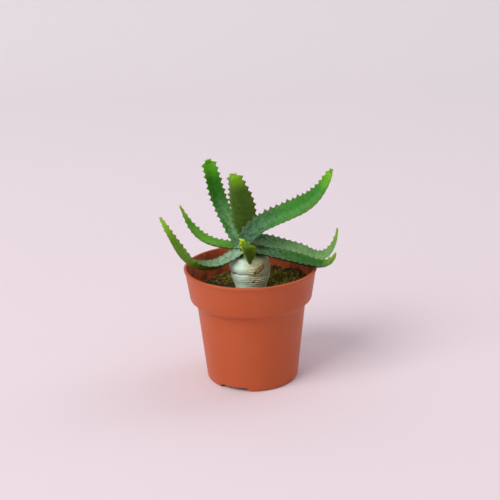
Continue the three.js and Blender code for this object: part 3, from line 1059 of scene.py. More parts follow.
@dataclass(frozen=True)
class CaudexBark:
    """Smooth pale bark, mint on the young lobes, tan and corky where it has split. Tan also serves as painted
    shade on the right-hand side, tan and cork as painted shade in the crease, and the dark crown colour as
    painted shade among the branch bases.
    """

    mint: Colour = srgb(228, 255, 238)
    shade: Colour = srgb(206, 248, 218)
    # The tan colour is the bark's own tan, and it also serves as painted shade on the right-hand side and in
    # the crease.
    tan_and_shade: Colour = srgb(204, 182, 112)
    # The cork colour is the cork of the scar and the pores, and a little painted shade in the crease.
    cork_and_shade: Colour = srgb(112, 74, 42)
    # The crown colour is the crown's own green, darkened as painted shade for the shadow among the branch
    # bases.
    crown: Colour = srgb(52, 84, 28)
    dark_cork: Colour = srgb(60, 38, 22)
    crown_bark: Colour = srgb(84, 96, 40)
    gloss: float = 0.55
    specular: float = 0.4
    clouds: Blotches = Blotches(scale=230.0, amount=0.4)
    tan_patches: Blotches = Blotches(scale=600.0, amount=0.35)
    pores: Dots = Dots(scale=620.0, size=0.2, amount=0.45)
    cork_patches: Blotches = Blotches(scale=900.0, amount=0.8)
    crown_patches: Blotches = Blotches(scale=420.0, amount=0.7)
    grain: Grain = Grain(coarse=500.0, fine=2400.0, depth=0.12)
    glow: float = 0.06
    glow_reach: tuple[float, float, float] = (2.0, 2.0, 1.0)

    def make(self, effects: Effects) -> bpy.types.Material:
        """Builds the material, which reads cork, tan and crown from the mesh; all three carry some painted
        shade.
        """
        finish = Finish("caudex_bark", effects, self.gloss, self.specular)
        bench = finish.bench
        base = finish.mottled(self.mint, self.shade, self.clouds)
        # Tan, partly painted shade, where the mesh marks it.
        base = bench.mix(bench.attribute("tan_and_shade"), base, finish.mottled(self.tan_and_shade, self.shade, self.tan_patches))
        base = finish.speckled(base, self.cork_and_shade, self.pores)
        # Cork where the mesh marks it, with a little painted shade in the crease.
        cork_and_shade = finish.mottled(self.cork_and_shade, self.dark_cork, self.cork_patches)
        base = bench.mix(bench.attribute("cork_and_shade"), base, cork_and_shade)
        # The crown's green, darkened as painted shade for the shadow among the branch bases.
        crown = finish.mottled(self.crown, self.crown_bark, self.crown_patches)
        base = bench.mix(bench.attribute("crown"), base, crown)
        finish.colour(base)
        finish.relief(self.grain)
        finish.glow(self.glow, self.glow_reach)
        return finish.material


@dataclass
class Caudex:
    """The swollen stem, with its taproot in the mix and its crown on top."""

    pot: Pot
    mix: PottingMix
    top: float
    radius: float = 8.2
    waist: float = 6.3
    dome: float = 14.8
    root_clearance: float = 5.2
    root_tip_radius: float = 1.2
    crown_radius: float = 3.8
    crown_lean: tuple[float, float] = (-0.8, -0.5)
    lean_start: float = 3.0
    lean_end: float = 2.0
    green_start: float = 1.4
    green_end: float = 1.2
    row_step: float = 0.22
    steps: int = 200
    crease_height: float = 7.9
    crease_depth: float = 0.45
    lobe_rise: float = 0.65
    ripple_rise: float = 0.17
    ripple_rate: float = 6.4
    scar_height: float = 9.3
    scar_depth: float = 0.7
    scar_slope: float = 0.075
    scar_turns: tuple[float, float, float, float] = (-84, -74, -52, -42)
    spot_height: float = 5.3
    spot_turn: float = -80.0
    spot_depth: float = 0.35
    stain_turn: float = -146.0
    crack_depth: float = 0.15

    @property
    def crown_middle(self) -> Vector:
        """The middle of the crown, from the pot's base."""
        return Vector((*self.crown_lean, self.top - self.crown_radius))

    def profile(self) -> list[tuple[float, float]]:
        """The stem's outline, from the taproot's end to the crown."""
        level, dome, radius = self.mix.level, self.dome, self.radius
        root_end = self.pot.foot_height + self.pot.wall + self.root_clearance
        length = level - root_end
        root = [
            (0, root_end),
            (self.root_tip_radius * 0.8, root_end + 0.3),
            (self.root_tip_radius, root_end + 1.0),
            (self.waist * 0.55, level - length * 0.6),
            (self.waist * 0.86, level - length * 0.28),
            (self.waist, level - 1),
        ]
        swelling = ((0.845, 0.17), (0.95, 0.415), (1, 0.64), (0.98, 0.82), (0.9, 0.95), (0.72, 1.04))
        body = [(radius * share, level + dome * rise) for share, rise in swelling]
        neck = (self.crown_radius * 1.15, level + dome + 1.5)
        crown = arc((0, self.top - self.crown_radius), self.crown_radius, 0, 90, 8)
        crown[-1] = (0, self.top)
        return [*root, *body, neck, *crown]

    def build(self) -> bpy.types.Object:
        """Makes the stem.

        Returns:
            The piece.
        """
        rough = self.profile()
        smooth = []
        for i in range(len(rough) - 1):
            before, here = rough[max(i - 1, 0)], rough[i]
            after, later = rough[i + 1], rough[min(i + 2, len(rough) - 1)]
            count = max(1, round(math.hypot(after[0] - here[0], after[1] - here[1]) / self.row_step))
            for j in range(count):
                stretch = zip(before, here, after, later)
                radius, height = (curve(*values, j / count) for values in stretch)
                smooth.append((max(radius, 0.0), height))
        smooth[0] = rough[0]
        smooth.append(rough[-1])
        bm = turn_profile(smooth, self.pot.base, self.steps)
        layers = {name: bm.verts.layers.float.new(name) for name in ("cork_and_shade", "tan_and_shade", "crown")}
        top = self.mix.level + self.dome
        for vert in bm.verts:
            place = (vert.co - self.pot.base) / MM
            turn = math.degrees(math.atan2(place.y, place.x))
            out = Vector((place.x, place.y, 0))
            offset, cork_and_shade, tan_and_shade = self._relief(turn, place)
            if out.length > 0.3:
                place = place + out.normalized() * offset
            lean = smoothstep(place.z, top - self.lean_start, top + self.lean_end)
            place.x += lean * self.crown_lean[0]
            place.y += lean * self.crown_lean[1]
            vert.co = self.pot.base + place * MM
            vert[layers["cork_and_shade"]] = clamp(cork_and_shade)
            vert[layers["tan_and_shade"]] = clamp(tan_and_shade)
            # The crown's mask; its dark colour is partly painted shade among the branch bases.
            vert[layers["crown"]] = smoothstep(place.z, top - self.green_start, top + self.green_end)
        return finish_piece(bm, "stem", ["caudex"])

    def _relief(self, turn: float, place: Vector) -> tuple[float, float, float]:
        """Works out the bark's relief at a place.

        Args:
            turn: The direction from the axis, in degrees from +X.
            place: The place, from the pot's base.

        Returns:
            How far the bark stands out, and its shares of cork and of tan, both with some painted shade.
        """
        z, level, around = place.z, self.mix.level, math.radians(turn)
        wobble = noise.noise(place * 0.28)
        crease_z = level + self.crease_height + 0.5 * math.sin(math.radians(turn * 2.2)) + wobble * 0.7
        left = smoothstep(math.cos(around + math.radians(140)), -0.35, 0.35)
        right = smoothstep(math.cos(around + math.radians(35)), 0.1, 0.75)
        crease = hill(z, crease_z, 0.3 + 0.25 * hill(turn, -165, 25)) * left
        lobe = hill(z, crease_z + 2.2, 1.8) * left + 0.6 * hill(z, crease_z - 2.2, 1.7)
        wave = math.sin(z * self.ripple_rate + 2.4 * noise.noise(place * 0.5))
        ripple = wave * right * hill(z, level + 6, 5.5)
        scar_z = level + self.scar_height + (turn + 77) * self.scar_slope
        scar_in, scar_full, scar_fade, scar_out = self.scar_turns
        along_scar = smoothstep(turn, scar_in, scar_full) * (1 - smoothstep(turn, scar_fade, scar_out))
        pits = 0.45 + 2.2 * noise.noise(place * 1.9 + Vector((2, 5, 1)))
        scar = hill(z, scar_z + 0.9 * noise.noise(place * 1.3), 0.75) * along_scar * clamp(pits)
        spot = hill(z, level + self.spot_height, 0.45) * hill(turn, self.spot_turn, 4)
        stain = hill(z, crease_z + 0.1, 0.5) * hill(turn, self.stain_turn, 9)
        crack = hill(noise.noise(place * 0.9 + Vector((7, 3, 1))), 0.0, 0.05) * right * hill(z, level + 9, 5)
        raised = self.lobe_rise * lobe + self.ripple_rise * ripple + 0.3 * wobble
        sunk = self.crease_depth * crease + self.scar_depth * scar + self.spot_depth * spot
        offset = raised - sunk - self.crack_depth * crack + 0.06 * noise.noise(place * 1.6)
        upper = smoothstep(z, level + 6, level + 12)
        # Part tan, part painted shade: the right-hand side, away from the key light, is tanned more towards
        # the top, and the crease is tanned as painted shade; the ripples' troughs, the cracks and the scar
        # also get tan.
        tan_and_shade = right * (0.35 + 0.4 * upper) + 0.5 * crease + 0.5 * hill(ripple, -1, 0.6) * right
        tan_and_shade += 0.35 * crack + 0.4 * along_scar * hill(z, scar_z, 1.6)
        groove = hill(ripple, -1, 0.45) * right
        # The crease's small share of cork is painted shade; the other shares are the cork of the scar, the
        # spot, the stain, the cracks and the grooves.
        cork_and_shade = 2.4 * scar + spot + 0.9 * stain + 0.1 * crease + 0.6 * crack + 0.4 * groove
        return offset, cork_and_shade, tan_and_shade

    def dress(self, piece: bpy.types.Object, effects: Effects) -> None:
        """Gives the stem its finish."""
        piece.data.materials.append(CaudexBark().make(effects))


# ---------------------------------------------------------------- branches


Spine = tuple[Vector, Vector, float]


@dataclass(frozen=True)
class LeafSkin:
    """The succulent skin of one branch."""

    name: str
    root: Colour
    middle: Colour
    tip: Colour
    under: Colour
    margin: Colour = srgb(126, 164, 62)
    tooth: Colour = srgb(112, 76, 36)
    bloom: float = 0.4
    wax: Colour = srgb(170, 194, 178)
    middle_at: float = 0.45

    DARK = srgb(12, 50, 4)
    GLOSS = 0.42
    SPECULAR = 0.16
    ROOT_AT = 0.08
    TIP_FROM = 0.8
    UNDER_TIP_FROM = 0.75
    UNDER_TIP_SHARE = 0.8
    DARK_SHARE = 0.55
    CLOUDS = Blotches(scale=330.0, amount=0.38)
    BAND_SHARE = 0.1
    STREAKS = 210.0
    STREAK_WAVER = 5.0
    WAVER_SCALE = 12500.0
    STREAK_SHARE = 0.26
    WAX_END = 0.75
    WAX_PATCHES = Blotches(scale=760.0, amount=0.85)
    WAX_DOTS = Dots(scale=1300.0, size=0.25, amount=0.16)
    MARGIN_SHARE = 0.55
    TOOTH_SHARE = 0.72
    BARE_GLOSS = 0.4
    WAX_GLOSS = 0.6
    GRAIN = Grain(coarse=700.0, fine=2600.0, depth=0.08)
    GLOW = 0.08
    GLOW_REACH = (0.8, 1.5, 0.4)

    def make(self, effects: Effects) -> bpy.types.Material:
        """Builds the material, which reads growth, margin, upper, tooth and band from the mesh.

        Args:
            effects: The shared node groups.

        Returns:
            The material.
        """
        finish = Finish("skin_" + self.name, effects, self.GLOSS, self.SPECULAR)
        bench = finish.bench
        growth, upper = bench.attribute("growth"), bench.attribute("upper")
        stops = ((self.ROOT_AT, self.root), (self.middle_at, self.middle))
        face = bench.ramp(growth, (*stops, (self.TIP_FROM, self.middle), (1.0, self.tip)))
        young = bench.ranged(growth, self.UNDER_TIP_FROM, 1.0, 0.0, self.UNDER_TIP_SHARE)
        base = bench.mix(upper, bench.mix(young, self.under, self.tip), face)
        dark = bench.mix(self.DARK_SHARE, base, self.DARK)
        base = finish.mottled(base, dark, self.CLOUDS)
        base = bench.mix(bench.maths("MULTIPLY", bench.attribute("band"), self.BAND_SHARE), base, dark)
        wavered = bench.maths("MULTIPLY", bench.noise(self.WAVER_SCALE, 2.0), self.STREAK_WAVER)
        along = bench.maths("ADD", bench.maths("MULTIPLY", growth, self.STREAKS), wavered)
        streak = bench.ranged(bench.maths("SINE", along), 0.1, 1.0, 0.0, self.STREAK_SHARE)
        base = bench.mix(streak, base, dark)
        early = bench.ranged(growth, 0.0, self.WAX_END, 1.0, 0.0)
        waxed = bench.maths("MULTIPLY", bench.maths("MULTIPLY", early, upper), self.bloom)
        base = bench.mix(waxed, base, finish.mottled(base, self.wax, self.WAX_PATCHES))
        base = finish.speckled(base, self.wax, self.WAX_DOTS)
        marks = (("margin", self.MARGIN_SHARE, self.margin), ("tooth", self.TOOTH_SHARE, self.tooth))
        for mark, share, colour in marks:
            base = bench.mix(bench.maths("MULTIPLY", bench.attribute(mark), share), base, colour)
        finish.colour(base)
        finish.roughness(bench.ranged(waxed, 0.0, 0.6, self.BARE_GLOSS, self.WAX_GLOSS))
        finish.relief(self.GRAIN)
        finish.glow(self.GLOW, self.GLOW_REACH)
        return finish.material


@dataclass
class Branch:
    """One flat ribbon branch, with a channelled face, a keeled underside and toothed margins.

    root is its start from the crown's middle. heading is the way it grows, in degrees from +X,
    rise is its slope and roll turns its upper face to the right-hand side. Each list is spread
    evenly from root to tip. ends are the root's and the tip's share of the width, and teeth the
    size of the teeth on the left and on the right margin.
    """

    name: str
    root: tuple[float, float, float]
    heading: list[float]
    rise: list[float]
    roll: list[float]
    length: float
    width: float
    ends: tuple[float, float]
    keel: float
    skin: LeafSkin
    over_rim: bool = False
    teeth: tuple[float, float] = (1.0, 1.0)
    slant: float = 0.0
    rust: tuple[float, float] = (0.0, 0.0)
    edging: tuple[float, float] = (1.0, 1.0)
    edge_fade: float = 10.0
    rounding: float = 3.4
    swell_end: float = 0.35
    end_teeth: int = 2

    TOOTH_PITCH = 2.45
    TOOTH_HEIGHT = 1.3
    FULL_TOOTH_HALF = 2.0
    TOOTH_START = 0.1
    MARGIN_LIFT = 0.25
    MARGIN_EDGE = 0.07
    CHANNEL_DEPTH = 0.1
    TAPER_START = 0.55
    RIM_CLEARANCE = 3.25
    EARLY_START = 1.2
    SIDES = 28
    TOOTH_STEPS = (0.0, 0.18, 0.34, 0.47, 0.56, 0.63, 0.72, 0.86)
    TOOTH_PEAK = 0.56
    TOOTH_SIZES = (0.7, 1.15)
    TIP_ROWS = ((0.86, 0.3), (0.6, 0.1), (0.25, 0.3))
    TIP_POINTS = 7
    TIP_POINT_LENGTH = 1.6
    TIP_TOOTH_RADII = (0.6, 0.04)
    TIP_TOOTH_LENGTH = 2.1
    TIP_TOOTH_SIDES = 8
    SPINE_LEANS = (0.55, -0.35)

    def build(self, crown: Vector, pot: Pot, seed: int) -> tuple[bpy.types.Object, list[Spine]]:
        """Makes the branch.

        Args:
            crown: The crown's middle, from the pot's base.
            pot: The pot, whose rim some branches pass over.
            seed: The seed of its teeth.

        Returns:
            The piece, and the foot, direction and growth of each spine on it.
        """
        rng = random.Random(seed)
        count = round(self.length / self.TOOTH_PITCH)
        shares = [(tooth + step) / count for tooth in range(count) for step in self.TOOTH_STEPS] + [1.0]
        sizes = [(rng.uniform(*self.TOOTH_SIZES), rng.uniform(*self.TOOTH_SIZES)) for _ in range(count + 1)]
        rows = self._middle_line(crown, pot, shares)
        bm = bmesh.new()
        keys = ("growth", "margin", "upper", "tooth", "band")
        layers = {key: bm.verts.layers.float.new(key) for key in keys}
        ring = bmesh.ops.create_circle(bm, cap_ends=True, segments=self.SIDES, radius=MM)["verts"]
        spines = []
        for i, (share, (spot, forward, across, upward)) in enumerate(zip(shares, rows)):
            if i > 0:
                ring = extruded_ring(bm, ring)
            phase = share * count % 1.0 if i < len(shares) - 1 else 0.0
            size = sizes[min(int(share * count + 1e-6), count)]
            for corner, vert in enumerate(ring):
                lateral, lift, margin, upper = self._section(corner)
                side = 1 if lateral > 0 else 0
                local, tooth = self._corner(share, phase, size, lateral, lift, margin)
                ahead = self.slant * lateral * smoothstep(share, 0.4, 1.0)
                place = spot + across * local.x + upward * local.z + forward * ahead
                vert.co = pot.base + place * MM
                vert[layers["growth"]] = share
                vert[layers["margin"]] = self.edging[side] * margin**self.edge_fade * (0.45 + 0.55 * share)
                vert[layers["upper"]] = upper
                rust = self.rust[side] * margin**8 * smoothstep(share, 0.2, 0.6)
                vert[layers["tooth"]] = max(smoothstep(tooth, 0.5, 0.85) * margin**10, rust)
                vert[layers["band"]] = hill(phase, 0.98, 0.16) + hill(phase, 0.0, 0.16)
                is_peak = abs(phase - self.TOOTH_PEAK) < 0.01 and abs(lateral) > 0.999
                if is_peak and tooth > 0.3:
                    out = across * math.copysign(1, lateral)
                    for lean in self.SPINE_LEANS:
                        aim = (out * 0.8 + forward * 0.55 + upward * lean).normalized()
                        spines.append((vert.co.copy(), aim, share))
        self._close_tip(bm, ring, rows[-1], layers)
        self._tip_teeth(bm, pot, rows[-1], layers)
        bmesh.ops.recalc_face_normals(bm, faces=bm.faces)
        piece = finish_piece(bm, self.name + "_ribbon", [self.name])
        smooth = piece.modifiers.new("smooth", "SUBSURF")
        smooth.levels = smooth.render_levels = 1
        return piece, spines

    def _middle_line(self, crown: Vector, pot: Pot, shares: list[float]) -> list[tuple[Vector, ...]]:
        """Places, forward, across and upward directions along the branch."""
        spot = crown + Vector(self.root)
        base_slope = 0.0
        if self.over_rim:
            drop = spot.z - (pot.height + self.RIM_CLEARANCE)
            base_slope = -math.degrees(math.atan2(drop, pot.rim_radius - spot.x))
        rows, previous, before = [], None, 0.0
        for share in shares:
            turn = math.radians(graded(self.heading, share))
            slope = math.radians(base_slope + graded(self.rise, share))
            level = math.cos(slope)
            forward = Vector((math.cos(turn) * level, math.sin(turn) * level, math.sin(slope)))
            across = Vector((math.sin(turn), -math.cos(turn), 0))
            across.rotate(Matrix.Rotation(math.radians(graded(self.roll, share)), 3, forward))
            if previous is not None:
                spot = spot + (forward + previous) * (self.length * (share - before) / 2)
            rows.append((spot.copy(), forward, across, across.cross(forward)))
            previous, before = forward, share
        first = rows[0]
        rows[0] = (first[0] - first[1] * self.EARLY_START, *first[1:])
        return rows

    def _section(self, corner: int) -> tuple[float, float, float, float]:
        """One corner of the section.

        Args:
            corner: Its number round the section.

        Returns:
            Its place across and its lift in half widths, its nearness to a margin, and 1 on the
            upper face or 0 on the underside.
        """
        half = self.SIDES // 2
        is_upper = corner <= half
        part = corner / half if is_upper else (corner - half) / half
        lateral = math.cos(math.pi * part) if is_upper else -math.cos(math.pi * part)
        near = abs(lateral)
        if is_upper:
            lift = -self.CHANNEL_DEPTH + (self.MARGIN_LIFT + self.CHANNEL_DEPTH) * near**1.7
        else:
            ridge = 1 - near**1.25
            lift = (self.MARGIN_LIFT - self.MARGIN_EDGE) * (1 - ridge) - self.keel * ridge
        return lateral, lift, near, 1.0 if is_upper else 0.0

    def _half_width(self, share: float) -> float:
        """Half the width at a place, without the teeth."""
        root_share, tip_share = self.ends
        swell = root_share + (1 - root_share) * smoothstep(share, 0, self.swell_end)
        taper = 1 - (1 - tip_share) * smoothstep(share, self.TAPER_START, 1)
        closing = 0.42 + 0.58 * math.sqrt(clamp(self.length * (1 - share) / self.rounding))
        return self.width / 2 * swell * taper * closing

    def _corner(
        self, share: float, phase: float, size: tuple[float, float], lateral: float, lift: float,
        margin: float,
    ) -> tuple[Vector, float]:
        """Places a corner of the section at a row.

        Args:
            share: How far along the branch the row is.
            phase: How far through its tooth the row is.
            size: The tooth's own size on the left and the right margin.
            lateral: The corner's place across, in half widths.
            lift: The corner's lift, in half widths.
            margin: The corner's nearness to a margin.

        Returns:
            The corner's place across and up, and the height of the tooth there as a share.
        """
        half = self._half_width(share)
        if phase < self.TOOTH_PEAK:
            shape = (phase / self.TOOTH_PEAK) ** 1.15
        else:
            shape = ((1 - phase) / (1 - self.TOOTH_PEAK)) ** 0.95
        number = 1 if lateral > 0 else 0
        grown = smoothstep(share, 0, self.TOOTH_START) * min(1, half / self.FULL_TOOTH_HALF)
        tooth = shape * self.teeth[number] * size[number] * grown
        reach = self.TOOTH_HEIGHT * tooth * margin**9
        sideways = lateral * half + math.copysign(reach, lateral)
        swelling = 0.014 * math.cos(math.tau * (phase - self.TOOTH_PEAK)) * (1 - margin)
        upwards = (lift + swelling * (1 if lift > -0.12 else -1)) * half + 0.12 * reach
        return Vector((sideways, 0, upwards)), tooth

    def _close_tip(
        self, bm: bmesh.types.BMesh, ring: list[bmesh.types.BMVert], row: tuple[Vector, ...], layers: dict
    ) -> None:
        """Rounds the tip off, with the small points of the newest growth."""
        forward = row[1]
        centre = sum((vert.co for vert in ring), Vector()) / len(ring)
        for number, (scale, ahead) in enumerate(self.TIP_ROWS):
            ring = extruded_ring(bm, ring)
            for corner, vert in enumerate(ring):
                wave = math.cos(math.radians(corner * 360 * self.TIP_POINTS / self.SIDES))
                point = self.TIP_POINT_LENGTH * max(0.0, wave) if number == 0 else 0.0
                vert.co = centre + (vert.co - centre) * scale + forward * (ahead + point) * MM
            paint(ring, (layers["growth"], 1.0), (layers["margin"], 0.4), (layers["upper"], 1.0))
        fill_ring(bm, ring)

    def _tip_teeth(self, bm: bmesh.types.BMesh, pot: Pot, row: tuple[Vector, ...], layers: dict) -> None:
        """Stands the newest teeth on the tip."""
        spot, forward, across, upward = row
        half = self.width / 2 * self.ends[1]
        radii = (self.TIP_TOOTH_RADII[0] * MM, self.TIP_TOOTH_RADII[1] * MM)
        for i in range(self.end_teeth):
            lateral = -0.75 + 1.5 * (i + 0.5) / self.end_teeth
            aim = (forward + across * lateral * 0.6).normalized()
            foot = spot - forward * 0.2 + across * lateral * half * 0.8 + upward * 0.12 * half + aim * 0.55
            middle = pot.base + foot * MM
            verts = add_cone(bm, middle, aim, radii, self.TIP_TOOTH_LENGTH * MM, self.TIP_TOOTH_SIDES)
            paint(verts, (layers["growth"], 1.0), (layers["margin"], 0.6), (layers["upper"], 1.0))

    def dress(self, piece: bpy.types.Object, effects: Effects) -> None:
        """Gives the branch its finish."""
        piece.data.materials.append(self.skin.make(effects))


@dataclass
class Spines:
    """The paired spines on the teeth, brown near the crown and green towards the tips."""

    length: float = 0.34
    radius: float = 0.09
    point: float = 0.15
    sides: int = 5
    gloss: float = 0.4
    old: Colour = srgb(104, 60, 40)
    young: Colour = srgb(150, 168, 60)
    dark: Colour = srgb(70, 40, 26)
    young_from: float = 0.55
    patches: Blotches = Blotches(scale=800.0, amount=0.5)

    def build(self, places: list[Spine]) -> bpy.types.Object:
        """Makes all the spines as one piece.

        Args:
            places: Each spine's foot, direction and growth along its branch.

        Returns:
            The piece.
        """
        bm = bmesh.new()
        age = bm.verts.layers.float.new("age")
        radii = (self.radius * MM, self.radius * self.point * MM)
        for foot, aim, growth in places:
            middle = foot + aim * self.length * 0.3 * MM
            paint(add_cone(bm, middle, aim, radii, self.length * MM, self.sides), (age, growth))
        return finish_piece(bm, "spines", [])

    def dress(self, piece: bpy.types.Object, effects: Effects) -> None:
        """Gives the spines their finish."""
        finish = Finish("spine_horn", effects, self.gloss)
        tone = finish.bench.ranged(finish.bench.attribute("age"), self.young_from, 1.0)
        horn = finish.bench.mix(tone, self.old, self.young)
        finish.colour(finish.mottled(horn, self.dark, self.patches))
        piece.data.materials.append(finish.material)


@dataclass
class MossStrays:
    """Loose moss shoots on the mix between the cushions."""

    mix: PottingMix
    clumps: int = 120
    wall_gap: float = 1.5
    stem_gap: float = 8.5
    clump_spread: float = 1.0
    shoot_sides: int = 5
    seed: int = 21

    def build(self) -> bpy.types.Object:
        """Makes the shoots, most of them on the right-hand side.

        Returns:
            The piece.
        """
        rng = random.Random(self.seed)
        bm = bmesh.new()
        tone = bm.verts.layers.float.new("tone")
        reach = self.mix.pot.inner_radius(self.mix.level) - self.wall_gap
        for number in range(self.clumps):
            turn = math.radians(rng.gauss(20, 55) if number % 5 else rng.uniform(110, 250))
            radius = rng.uniform(self.stem_gap, reach)
            middle = Vector((radius * math.cos(turn), radius * math.sin(turn)))
            for _ in range(rng.randint(8, 26)):
                x = middle.x + rng.gauss(0, self.clump_spread)
                y = middle.y + rng.gauss(0, self.clump_spread)
                if math.hypot(x, y) > reach:
                    continue
                lean = Vector((rng.uniform(-0.7, 0.7), rng.uniform(-0.7, 0.7), 1)).normalized()
                length = rng.uniform(0.6, 1.4)
                foot = Vector((x, y, self.mix.surface(x, y) + 0.1 + length * 0.3))
                thick = rng.uniform(0.14, 0.3) * MM
                centre = self.mix.pot.base + foot * MM
                verts = add_cone(bm, centre, lean, (thick, thick * 0.3), length * MM, self.shoot_sides)
                paint(verts, (tone, rng.uniform(0.4, 1.0)))
        return finish_piece(bm, "moss_strays", [])


def branch_rows() -> list[Branch]:
    """Every branch with its own growth and skin.

    Returns:
        The branches.
    """
    olive = srgb(78, 112, 14)
    tip = srgb(154, 212, 40)
    return [
        Branch(
            "branch_front_short", (0.6, -5.5, -6.7), [264, 264], [50, 54], [-15, -22], 17.8, 6.0,
            (0.15, 1.0), 0.6,
            LeafSkin(
                "front_short", srgb(70, 106, 22), srgb(72, 116, 20), srgb(104, 150, 34), srgb(74, 110, 20),
                margin=srgb(204, 220, 30), tooth=srgb(168, 92, 34), bloom=0.1,
            ),
            slant=1.0,
            edging=(0.4, 4.0),
            edge_fade=7.0,
            teeth=(0.7, 0.8),
            rounding=1.2,
            swell_end=0.75,
        ),
        Branch(
            "branch_right_upper", (-1.2, -2.5, 3.5), [3, 6], [60, 31, 22, 26, 50, 68], [55, 60, 45], 47, 7.2,
            (0.9, 0.46), 0.6,
            LeafSkin(
                "right_upper", srgb(46, 96, 60), srgb(68, 146, 50), srgb(130, 206, 34), olive,
                margin=srgb(84, 130, 44), tooth=srgb(124, 56, 34), bloom=0.22,
            ),
            teeth=(1.0, 0.22),
            rust=(0.0, 1.0),
        ),
        Branch(
            "branch_left_front", (-1.2, -2.5, 0.5), [188, 186, 205], [-31, -27, 10, 50, 62, 66],
            [-20, 0, 24, 32], 47, 7.4, (0.8, 0.3), 0.6,
            LeafSkin(
                "left_front", srgb(132, 172, 140), srgb(80, 132, 32), tip, srgb(86, 128, 22),
                margin=srgb(126, 158, 84), bloom=0.9, middle_at=0.6,
            ),
        ),
        Branch(
            "branch_right_front", (1.3, -3.0, 0.3), [356, 354, 350], [-2.5, -2.5, -2.5, 3.5, 73.5],
            [10, 10, 0], 36.8, 7.2, (0.75, 0.6), 0.6,
            LeafSkin(
                "right_front", srgb(40, 90, 44), srgb(40, 102, 26), tip, srgb(34, 84, 22),
                margin=srgb(80, 126, 50), tooth=srgb(110, 92, 50), bloom=0.3,
            ),
            over_rim=True,
        ),
        Branch(
            "branch_right_rear", (1.3, 2.2, 2.6), [2, 3, 12], [8, -2, -2.6, -5.4, 68, 100], [26, 27, 6],
            44.8, 6.8, (1.0, 0.3), 0.5,
            LeafSkin(
                # The dark root colour is painted shade, for the shadow that branch_right_upper casts on this
                # branch's base.
                "right_rear", srgb(48, 104, 36), srgb(128, 176, 104), tip, srgb(66, 104, 18),
                margin=srgb(124, 122, 104), tooth=srgb(98, 80, 66), bloom=0.35,
            ),
            over_rim=True,
            teeth=(0.7, 0.5),
        ),
        Branch(
            "branch_left_rear", (-0.7, 1.0, 0.0), [172, 150], [2, 4, 22, 53, 62], [-10, -6, 0], 35, 5.6,
            (0.95, 0.34), 0.6,
            LeafSkin(
                "left_rear", srgb(76, 138, 44), srgb(96, 166, 34), srgb(156, 214, 46), srgb(104, 156, 30),
                bloom=0.15,
            ),
        ),
        Branch(
            "branch_back_left", (-2.0, 1.7, 0.3), [154, 136], [46, 60, 65, 73, 70], [-25, -45], 38, 5.8,
            (1.25, 0.85), 0.6,
            LeafSkin(
                "back_left", srgb(96, 176, 72), srgb(38, 110, 2), srgb(96, 180, 18), olive,
                margin=srgb(84, 150, 34), bloom=0.8, middle_at=0.6,
            ),
            teeth=(0.8, 0.95),
            end_teeth=3,
            rounding=1.2,
        ),
        Branch(
            "branch_back_centre", (-0.8, 1.5, 2.0), [200, 190], [84, 84, 79, 73], [45, 55], 29, 10.6,
            (0.5, 0.52), 0.5,
            LeafSkin(
                "back_centre", srgb(60, 108, 30), srgb(54, 94, 6), srgb(132, 190, 18), srgb(60, 90, 8),
                margin=srgb(108, 140, 78), bloom=0.2,
            ),
            edging=(0.2, 2.0),
            end_teeth=4,
            edge_fade=3.0,
            rounding=0.8,
        ),
    ]


# ---------------------------------------------------------------- studio


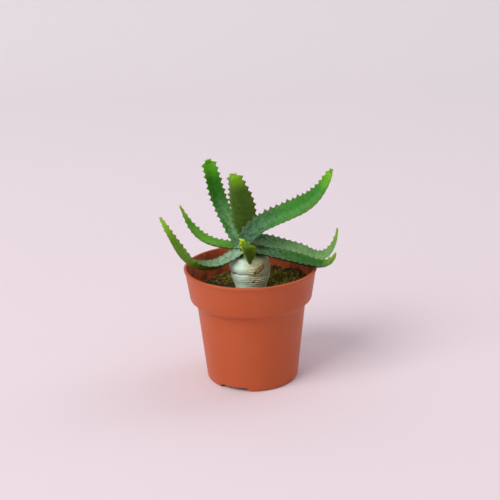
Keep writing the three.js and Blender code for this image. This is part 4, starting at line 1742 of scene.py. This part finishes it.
@dataclass
class Studio:
    """A plain pale sweep, soft light and the camera."""

    axis: Vector
    lens: float = 72.0
    sensor: float = 36.0
    distance: float = 416.0
    pitch: float = 18.5
    aim_height: float = 55.8
    roll: float = 1.35
    cloth_near: Colour = srgb(231, 219, 227)
    cloth_far: Colour = srgb(229, 224, 229)
    room: Colour = (1.0, 0.985, 0.99, 1.0)
    room_strength: float = 0.455
    clip: tuple[float, float] = (0.01, 20.0)

    def build(self) -> None:
        """Makes the sweep, the lights and the camera."""
        self._sweep()
        self._light("key", (-1380, -1200, 1750), size=1500, power=43.5, colour=srgb(255, 250, 246))
        self._light("fill", (1250, 1200, 1500), size=2200, power=19.0, colour=srgb(250, 248, 255))
        self._world()
        self._camera()

    def _sweep(self) -> None:
        """A floor that curves up into a backdrop."""
        width, front, back, bend, top = 4000.0, -1500.0, 700.0, 500.0, 2600.0
        bm = bmesh.new()
        curved = [(y, z + bend) for y, z in arc((back, 0.0), bend, -90, 0, 24)]
        profile = [(front, 0.0), *curved, (back + bend, top)]
        verts = [bm.verts.new(self.axis + Vector((-width / 2, y, z)) * MM) for y, z in profile]
        edges = [bm.edges.new(pair) for pair in zip(verts, verts[1:])]
        made = bmesh.ops.extrude_edge_only(bm, edges=edges)["geom"]
        far = [item for item in made if isinstance(item, bmesh.types.BMVert)]
        bmesh.ops.translate(bm, verts=far, vec=(width * MM, 0, 0))
        bmesh.ops.recalc_face_normals(bm, faces=bm.faces)
        sweep = object_from(bm, "sweep")
        material = bpy.data.materials.new("pale_cloth")
        material.use_nodes = True
        shader = material.node_tree.nodes["Principled BSDF"]
        shader.inputs["Roughness"].default_value = 0.95
        shader.inputs["Specular IOR Level"].default_value = 0.1
        bench = Bench(material.node_tree)
        spot = bench.add("ShaderNodeSeparateXYZ", {0: bench.object_place()})
        away = bench.maths("ADD", spot.outputs["Y"], spot.outputs["Z"])
        cloth = bench.mix(bench.ranged(away, -0.1, 0.9), self.cloth_near, self.cloth_far)
        material.node_tree.links.new(cloth, shader.inputs["Base Color"])
        sweep.data.materials.append(material)

    def _light(
        self, name: str, place: tuple[float, float, float], size: float, power: float, colour: Colour
    ) -> None:
        """A square soft light that faces the plant."""
        data = bpy.data.lights.new(name, "AREA")
        data.size = size * MM
        data.energy = power
        data.color = colour[:3]
        light = bpy.data.objects.new(name, data)
        bpy.context.scene.collection.objects.link(light)
        light.location = self.axis + Vector(place) * MM
        aim = self.axis + Vector((0, 0, self.aim_height)) * MM
        light.rotation_euler = (light.location - aim).to_track_quat("Z", "Y").to_euler()

    def _world(self) -> None:
        """A pale room all round."""
        world = bpy.data.worlds.new("room")
        world.use_nodes = True
        background = world.node_tree.nodes["Background"]
        background.inputs["Color"].default_value = self.room
        background.inputs["Strength"].default_value = self.room_strength
        bpy.context.scene.world = world
        bpy.context.scene.view_settings.view_transform = "Standard"

    def _camera(self) -> None:
        """A long lens, a little above the rim."""
        data = bpy.data.cameras.new("camera")
        data.lens, data.sensor_width = self.lens, self.sensor
        data.clip_start, data.clip_end = self.clip
        camera = bpy.data.objects.new("camera", data)
        bpy.context.scene.collection.objects.link(camera)
        pitch, roll = math.radians(self.pitch), math.radians(self.roll)
        back = Vector((0, -math.cos(pitch), math.sin(pitch)))
        level = Vector((1, 0, 0))
        upright = back.cross(level)
        right = level * math.cos(roll) - upright * math.sin(roll)
        up = level * math.sin(roll) + upright * math.cos(roll)
        place = self.axis + (Vector((0, 0, self.aim_height)) + back * self.distance) * MM
        turn = Matrix((right, up, back)).transposed().to_4x4()
        camera.matrix_world = Matrix.Translation(place) @ turn
        bpy.context.scene.camera = camera


# ---------------------------------------------------------------- the whole plant


def main() -> None:
    """Builds and dresses every piece around the frame, and sets the scene."""
    logging.basicConfig(level=logging.INFO, format="%(name)s: %(message)s")
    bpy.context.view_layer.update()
    effects = Effects.make()
    low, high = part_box("pot")
    base = Vector(((low.x + high.x) / 2, (low.y + high.y) / 2, low.z))

    pot = Pot(base, height=(high.z - low.z) / MM)
    mix = PottingMix(pot)
    pot.dress(pot.build(), effects, mix.level)
    mix.dress(mix.build(), effects)

    green = MossGreen().make(effects)
    for seed, node in enumerate(("moss_right", "moss_back", "moss_front_right")):
        patch = MossPatch(node, mix, seed=seed)
        patch.dress(patch.build(), green)
    MossStrays(mix).build().data.materials.append(green)

    stem = Caudex(pot, mix, top=(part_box("caudex")[1].z - base.z) / MM)
    stem.dress(stem.build(), effects)

    places: list[Spine] = []
    for seed, branch in enumerate(branch_rows()):
        ribbon, spines = branch.build(stem.crown_middle, pot, seed)
        branch.dress(ribbon, effects)
        places += spines
    thorns = Spines()
    thorns.dress(thorns.build(places), effects)

    Studio(base).build()


if __name__ == "__main__":
    main()
